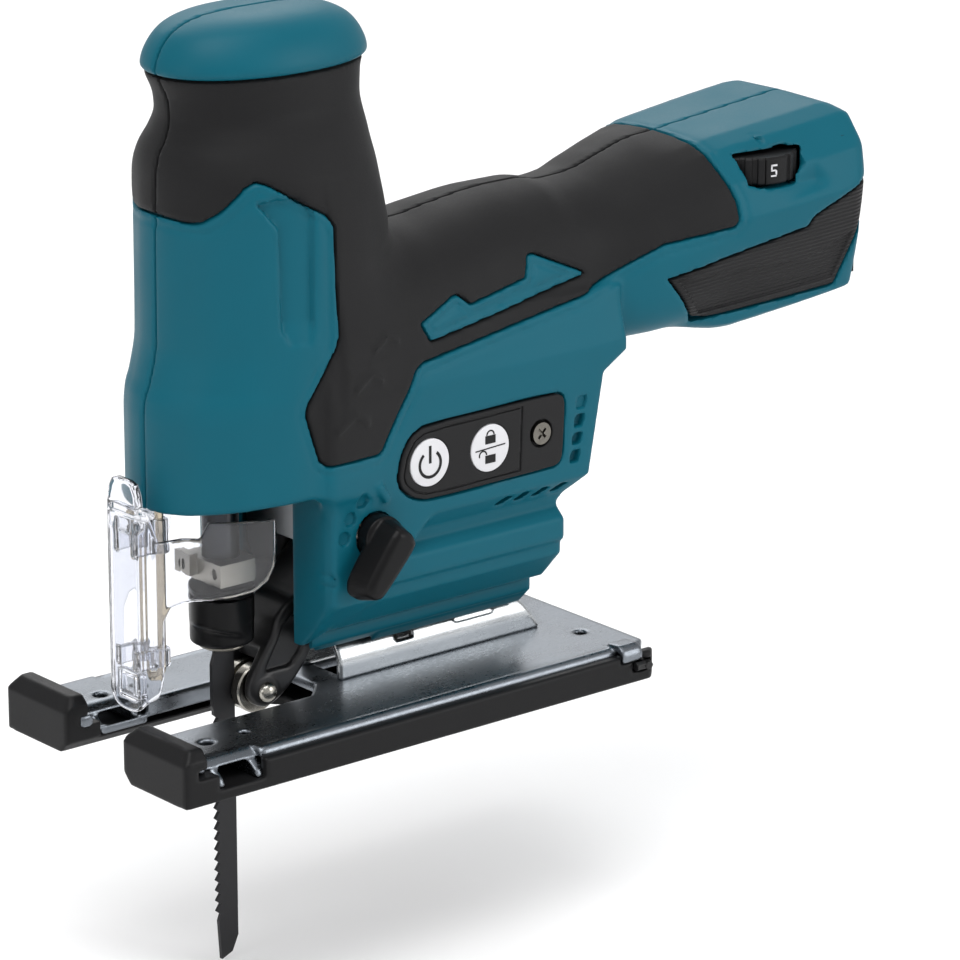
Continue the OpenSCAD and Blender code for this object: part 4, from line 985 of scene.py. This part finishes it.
def gap_plan(x: Array, y: Array, front: float, half: float, rear: float) -> Array:
    """Outline of the base from above, with the blade gap at its front."""
    loop = ((front, GAP), (20, GAP), (26, GAP - 6), (26, -60), (rear, -60), (rear, half - 3),
            (rear - 3, half), (front + 3, half), (front, half - 3))
    return polygon(x, np.abs(y), loop)


def plate_field(x: Array, y: Array, z: Array) -> Array:
    """Base plate: rounded sheet, turned edges, pierced front arms, rear lugs."""
    side = np.abs(y)
    plan = gap_plan(x, y, -37.8, 37.6, 120)
    skin = smooth_max(plan, block(x, y, z, (-60, -37.7, -20), (200, 37.7, 9.9), 2.4), 1.0)
    sheet = smooth_max(skin, 7.3 - z, 0.5)
    edge = smooth_max(skin, np.maximum(35.2 - side, np.maximum(slab(x, -14, 113), 3.1 - z)), 0.6)
    lip = smooth_max(skin, np.maximum(side - 14.6, np.maximum(x - 19, 4.6 - z)), 0.8)
    arm = polygon(y, z, ((-39.4, 3.1), (-38.8, 5.4), (-32.2, 9.9), (-14.2, 9.9), (-12.7, 8.4), (-12.7, 3.1)))
    far = polygon(y, z, ((12.7, 3.1), (12.9, 4.8), (16.2, 5.6), (20.6, 9.9), (37.6, 9.9), (39.4, 8.2),
                         (39.4, 3.1)))
    arms = smooth_max(np.minimum(arm, far), slab(x, -31, -15.6), 1.2)
    shape = np.minimum(np.minimum(smooth_min(sheet, edge, 0.8), lip), arms)
    shape = np.maximum(shape, -smooth_max(smooth_max(slab(x, -28.6, -18.6), slab(z, 2, 7.3), 1.0),
                                          slab(side, 13.4, 60), 0.4))
    cutaway = polygon(y, z, ((15.8, 5.7), (20.4, 10.2), (20.4, 20), (5, 20), (5, 5.2)))
    shape = smooth_max(shape, -np.maximum(cutaway, slab(x, -33.5, -15.6)), 1.0)
    slope = polygon(y, z, ((-45, 3.0), (-38.6, 5.6), (-32.4, 10.1), (-32.4, 20), (-45, 20)))
    shape = smooth_max(shape, -np.maximum(slope, slab(x, -33.5, -15.6)), 1.0)
    hook = polygon(side, z, ((33.2, 9.3), (34.2, 11.0), (38.8, 11.2), (40.6, 10.1), (41.2, 8.4), (41.2, 6.6),
                             (40.2, 6.4), (39.6, 8.2), (38.2, 9.2), (35.4, 9.5)))
    shape = smooth_min(shape, smooth_max(hook, slab(x, 107.6, 114.9), 0.8), 0.6)
    for u, v, r in ((-23.5, 24, 2.0), (-11, 24, 1.5), (110, 20, 1.8)):
        shape = without(shape, disc(x, side, (u, v), r), 0.6)
    shape = without(shape, block(x, y, z, (36, -6.9, 0), (101, 6.9, 12), 0.3), 0.4)
    return without(shape, block(x, y, z, (114.2, -60, 2), (130, 60, 6.4), 0.3), 0.4)


def cover_field(x: Array, y: Array, z: Array) -> Array:
    """Sole cover: floor, side walls and the two bumpers."""
    side = np.abs(y)
    floor = extrude(gap_plan(x, y, *SOLE_X[:1], 40.8, SOLE_X[1]), z, 0, 3, 0.5)
    rim = smooth_max(gap_plan(x, y, *SOLE_X[:1], 40.8, SOLE_X[1]), slab(z, 0, 8.3), 1.2)
    wall = smooth_max(np.maximum(rim, 37.85 - side), -16.4 - x, 0.5)
    rear = smooth_max(smooth_max(rim, 118.2 - x, 0.5), z - 6.3, 0.8)
    section = polygon(side, z, ((12.7, 0), (40.8, 0), (40.8, 12.4), (38.4, 15.6), (15.4, 15.6), (12.7, 13)))
    nose = polygon(x, z, ((-42.6, -1), (-42.6, 11.8), (-39.4, 15.6), (-35.8, 15.6), (-35.1, 14.8),
                          (-34.9, 9.2), (-31.1, 7.4), (-31.1, -1)))
    bumper = smooth_max(section, nose, 1.0)
    shape = np.minimum(np.minimum(np.minimum(floor, wall), rear), bumper)
    shape = np.maximum(shape, -block(x, y, z, (-38.1, -60, 7.2), (-29, 60, 9.95), 0.1))
    bevel = polygon(side, z, ((GAP - 1, -1), (GAP + 4.2, -1), (GAP - 1, 4.2)))
    shape = smooth_max(shape, -np.maximum(bevel, slab(x, -60, 22)), 0.5)
    shape = without(shape, block(x, side, z, (107.2, 36, 6.1), (115.3, 60, 20), 0.3), 0.4)
    shape = without(shape, block(x, y, z, (114.2, -60, 3), (118.3, 60, 6.3), 0.2), 0.3)
    shape = without(shape, block(x, y, z, (111.6, -60, 3), (118.3, -39.2, 6.3), 0.2), 0.3)
    return without(shape, block(x, y, z, (36, -6.9, -5), (101, 6.9, 12), 0.3), 0.4)


def bracket_field(x: Array, y: Array, z: Array) -> Array:
    """Arched tilt bracket with its bolt slot and a framed scale mark."""
    radial = np.sqrt(y**2 + np.maximum(z - 13.5, 0) ** 2)
    arch = smooth_max(radial - 9.2, 7.0 - radial, 0.5)
    ends = np.maximum(33 - x, x - 104 + 0.7 * np.maximum(z - 10.5, 0))
    arch = smooth_max(smooth_max(arch, ends, 0.9), 9.9 - z, 0.3)
    slot = extrude(polygon(x, np.abs(y), ((53, -1), (53, 8.2), (55, 9.6), (57.4, 9.6), (59.2, 8.2),
                                          (59.2, 3.2), (74, 3.2), (74, -1))), z, 16.7, 40, 0.1)
    arch = without(arch, slot, 0.5)
    mark = np.maximum(np.abs(block(x, 0 * y, z, (74, -1, 17.8), (88, 1, 26), 0.9)) - 0.2, y)
    return without(arch, np.maximum(mark, 8.95 - radial), 0.25)


ROLLER = (9.06, 12.0)


def arm_field(x: Array, y: Array, z: Array) -> Array:
    """Forged guide arm that curls round the roller with a raised rim."""
    side = np.abs(y)
    loop = ((4.0, 15.6), (3.7, 11.4), (5.6, 8.5), (8.9, 7.4), (12.8, 8.3), (18.4, 12.2), (24.6, 19.4),
            (27.6, 28.2), (28.6, 36), (32, 46), (28, 48), (19.6, 37), (15.4, 34.6), (12.6, 31.4),
            (11.6, 27.4), (8.0, 22.4))
    shape = extrude(polygon(x, z, rounded(loop, 2)), side, -9, 7.5, 1.3)
    inner = polygon(x, z, rounded(((9, 17.5), (12.5, 17.6), (17.5, 17.5), (21.5, 22), (23, 29), (19.5, 32),
                                   (15.5, 29.5), (13.8, 25.4)), 1))
    shape = without(shape, np.maximum(inner, 6.0 - side), 1.4)
    shape = smooth_min(shape, extrude(disc(x, z, ROLLER, 4.2), side, 5, 7.7, 0.6), 0.6)
    pocket = np.minimum(disc(x, z, ROLLER, 7.9), np.maximum(x - ROLLER[0], z - 24))
    shape = without(shape, np.maximum(pocket, side - 4.4), 0.5)
    shape = np.maximum(shape, -disc(x, z, (24, 36), 2.55))
    return np.maximum(shape, -disc(x, z, ROLLER, 2.02))


def sleeve_field(x: Array, y: Array, z: Array) -> Array:
    """Clamp release sleeve with its thumb lobe."""
    ring = smooth_max(disc(x, y, (0, 0), 8.7), slab(z, 26.9, 43.7), 1.2)
    lobe = smooth_max(disc(x, y, (-3.4, -2.6), 7.2), slab(z + 0.28 * x, 30.4, 42.2), 1.4)
    collar = smooth_max(disc(x, y, (0, 0), 8.0) - 0.7, slab(z, 33.2, 43.7), 0.8)
    shape = smooth_min(smooth_min(ring, lobe, 1.6), collar, 0.6)
    groove = np.maximum(np.abs(z + 0.1 * x - 40.6) - 0.3, -(disc(x, y, (0, 0), 8.7) + 0.4))
    shape = without(shape, groove, 0.3)
    return np.maximum(np.maximum(shape, 4.46 - disc(x, y, (0, 0), 0.0)), z - 43.75)


def dome_field(x: Array, y: Array, z: Array) -> Array:
    """Steel dome under the sleeve, with its stem and blade slot."""
    spread = np.sqrt((x / 7.3) ** 2 + (y / 7.3) ** 2 + ((z - 27.2) / 3.0) ** 2)
    dome = smooth_max((spread - 1) * 3.0, z - 26.5, 0.5)
    stem = np.maximum(disc(x, y, (0, 0), 4.4), slab(z, 25.5, 43.9))
    return np.maximum(np.minimum(dome, stem), -block(x, y, z, (-3.95, -0.8, 20), (3.95, 0.8, 50), 0.1))


def add_front(materials: dict[str, bpy.types.Material]) -> None:
    """Guard, base, tilt bracket, guide arm, sleeve and domed roller pin."""
    carve("guard_sheet", guard_field, Lattice((-33.1, -25.3, 13.1), (2.2, 25.3, 79.6), 0.38),
          materials["clear"], Body.GUARD, ["dust_guard"], sharp=180)
    carve("plate_sheet", plate_field, Lattice((-39.1, -42.4, 2.3), (121.2, 42.4, 12.2), 0.5, (1.5, 1.1, 0.7)),
          materials["zinc"], Body.BASE, ["base_plate"])
    carve("sole_tray", cover_field, Lattice((-43.9, -42.2, -1), (122.6, 42.2, 16.8), 0.55, (1.5, 1.1, 0.8)),
          materials["sole"], Body.BASE, ["base_cover"])
    carve("bracket_arch", bracket_field, Lattice((32, -10.4, 9.2), (105.6, 10.4, 23.8), 0.4, (1.25, 1, 1)),
          materials["bright"], Body.BASE, ["tilt_bracket"])
    carve("guide_fork", arm_field, Lattice((2.6, -9, 6.2), (34, 9, 50), 0.36), materials["oxide"],
          Body.GUIDE, ["guide_arm"])
    carve("clamp_collar", sleeve_field, Lattice((-12.6, -11.4, 25.6), (10.4, 10.4, 45), 0.36),
          materials["lever"], Body.SLEEVE, ["clamp_sleeve"])
    head = [(0.02, -10), (1.2, -9.85), (2.1, -9.4), (2.75, -8.5), (2.85, -7.6), (1.98, -7.6), (1.98, 7.6),
            (2.85, 7.6), (2.75, 8.5), (2.1, 9.4), (1.2, 9.85), (0.02, 10)]
    lathe("domed_pin", head, "y", (ROLLER[0], 0, ROLLER[1]), materials["ground"], Body.GUIDE,
          ["roller_pin"], 48)
    carve("clamp_dome", dome_field, Lattice((-8.6, -8.6, 23), (8.6, 8.6, 45), 0.34),
          materials["sinter"], Body.PLUNGER, ["clamp_cap"])


# ---- stage --------------------------------------------------------------

TARGET = (0.09001, 0.0, 0.05373)
DISTANCE = 1.39101
AZIMUTH = math.radians(39.6)
ELEVATION = math.radians(17.47)


def add_camera() -> None:
    """Camera at the three-quarter view from the front left."""
    data = bpy.data.cameras.new("camera")
    data.sensor_width, data.lens = 36, 187.5
    camera = bpy.data.objects.new("camera", data)
    flat = DISTANCE * math.cos(ELEVATION)
    camera.location = (TARGET[0] - flat * math.sin(AZIMUTH), -flat * math.cos(AZIMUTH),
                       TARGET[2] + DISTANCE * math.sin(ELEVATION))
    look = Vector(TARGET) - camera.location
    camera.rotation_euler = look.to_track_quat("-Z", "Y").to_euler()
    bpy.context.scene.collection.objects.link(camera)
    bpy.context.scene.camera = camera


def add_light(name: str, spot: Point, size: float, power: float, aim: Point = TARGET) -> None:
    """Soft square light aimed at the tool."""
    data = bpy.data.lights.new(name, "AREA")
    data.shape, data.size, data.energy = "SQUARE", size, power
    lamp = bpy.data.objects.new(name, data)
    lamp.location = spot
    lamp.rotation_euler = (Vector(aim) - Vector(spot)).to_track_quat("-Z", "Y").to_euler()
    bpy.context.scene.collection.objects.link(lamp)


def add_stage() -> None:
    """Pale sweep under and behind the tool, and the studio lights."""
    material = build(Finish("pale_card", "#f4f4f4", 0.9, grain=2, bump=0.0, patch=400, tint=0.004,
                            spread=0.02))
    s = np.linspace(0, 1, 60)
    run = np.where(s < 0.5, -2500 + s * 2 * 5200, 2700 + np.sin(np.clip((s - 0.5) * 4, 0, 1) * math.pi / 2) * 900)
    rise = np.where(s < 0.5, 0, (1 - np.cos(np.clip((s - 0.5) * 4, 0, 1) * math.pi / 2)) * 900
                    + np.maximum(s - 0.75, 0) * 12000)
    across = np.array([-5000.0, 5000.0])
    c, d = math.cos(AZIMUTH), math.sin(AZIMUTH)
    points = np.array([(r * d + a * c, r * c - a * d, h - 66.2) for r, h in zip(run, rise) for a in across])
    faces = np.array([(2 * i, 2 * i + 1, 2 * i + 3, 2 * i + 2) for i in range(len(s) - 1)])
    mesh = bpy.data.meshes.new("floor")
    mesh.from_pydata([tuple(p * MM) for p in points], [], faces.tolist())
    mesh.polygons.foreach_set("use_smooth", np.ones(len(faces), bool))
    mesh.materials.append(material)
    floor = bpy.data.objects.new("floor", mesh)
    bpy.context.scene.collection.objects.link(floor)
    world = bpy.data.worlds.new("studio")
    world.use_nodes = True
    world.node_tree.nodes["Background"].inputs["Color"].default_value = linear("#fbfbfc")
    world.node_tree.nodes["Background"].inputs["Strength"].default_value = 0.7
    bpy.context.scene.world = world
    bpy.context.scene.view_settings.view_transform = "Standard"
    add_light("key", (-0.5, -0.5, 1.9), 1.4, 27)
    add_light("side", (1.0, -1.5, 0.6), 0.9, 10)
    add_light("front", (-1.6, -0.2, 0.5), 0.6, 2.5)
    add_light("back", (0.9, 1.6, 1.6), 1.6, 18)


def main() -> None:
    """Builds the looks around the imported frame."""
    logging.basicConfig(level=logging.INFO)
    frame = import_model()
    materials = {key: build(finish) for key, finish in FINISHES.items()}
    materials["clear"] = clear_plastic("clear_polycarbonate", "#eceef4")
    dress_cad(frame, materials)
    add_shells(materials)
    add_covers(materials)
    add_keys(materials)
    add_controls(materials)
    add_front(materials)
    add_camera()
    add_stage()
    bpy.context.view_layer.update()


if __name__ == "__main__":
    main()
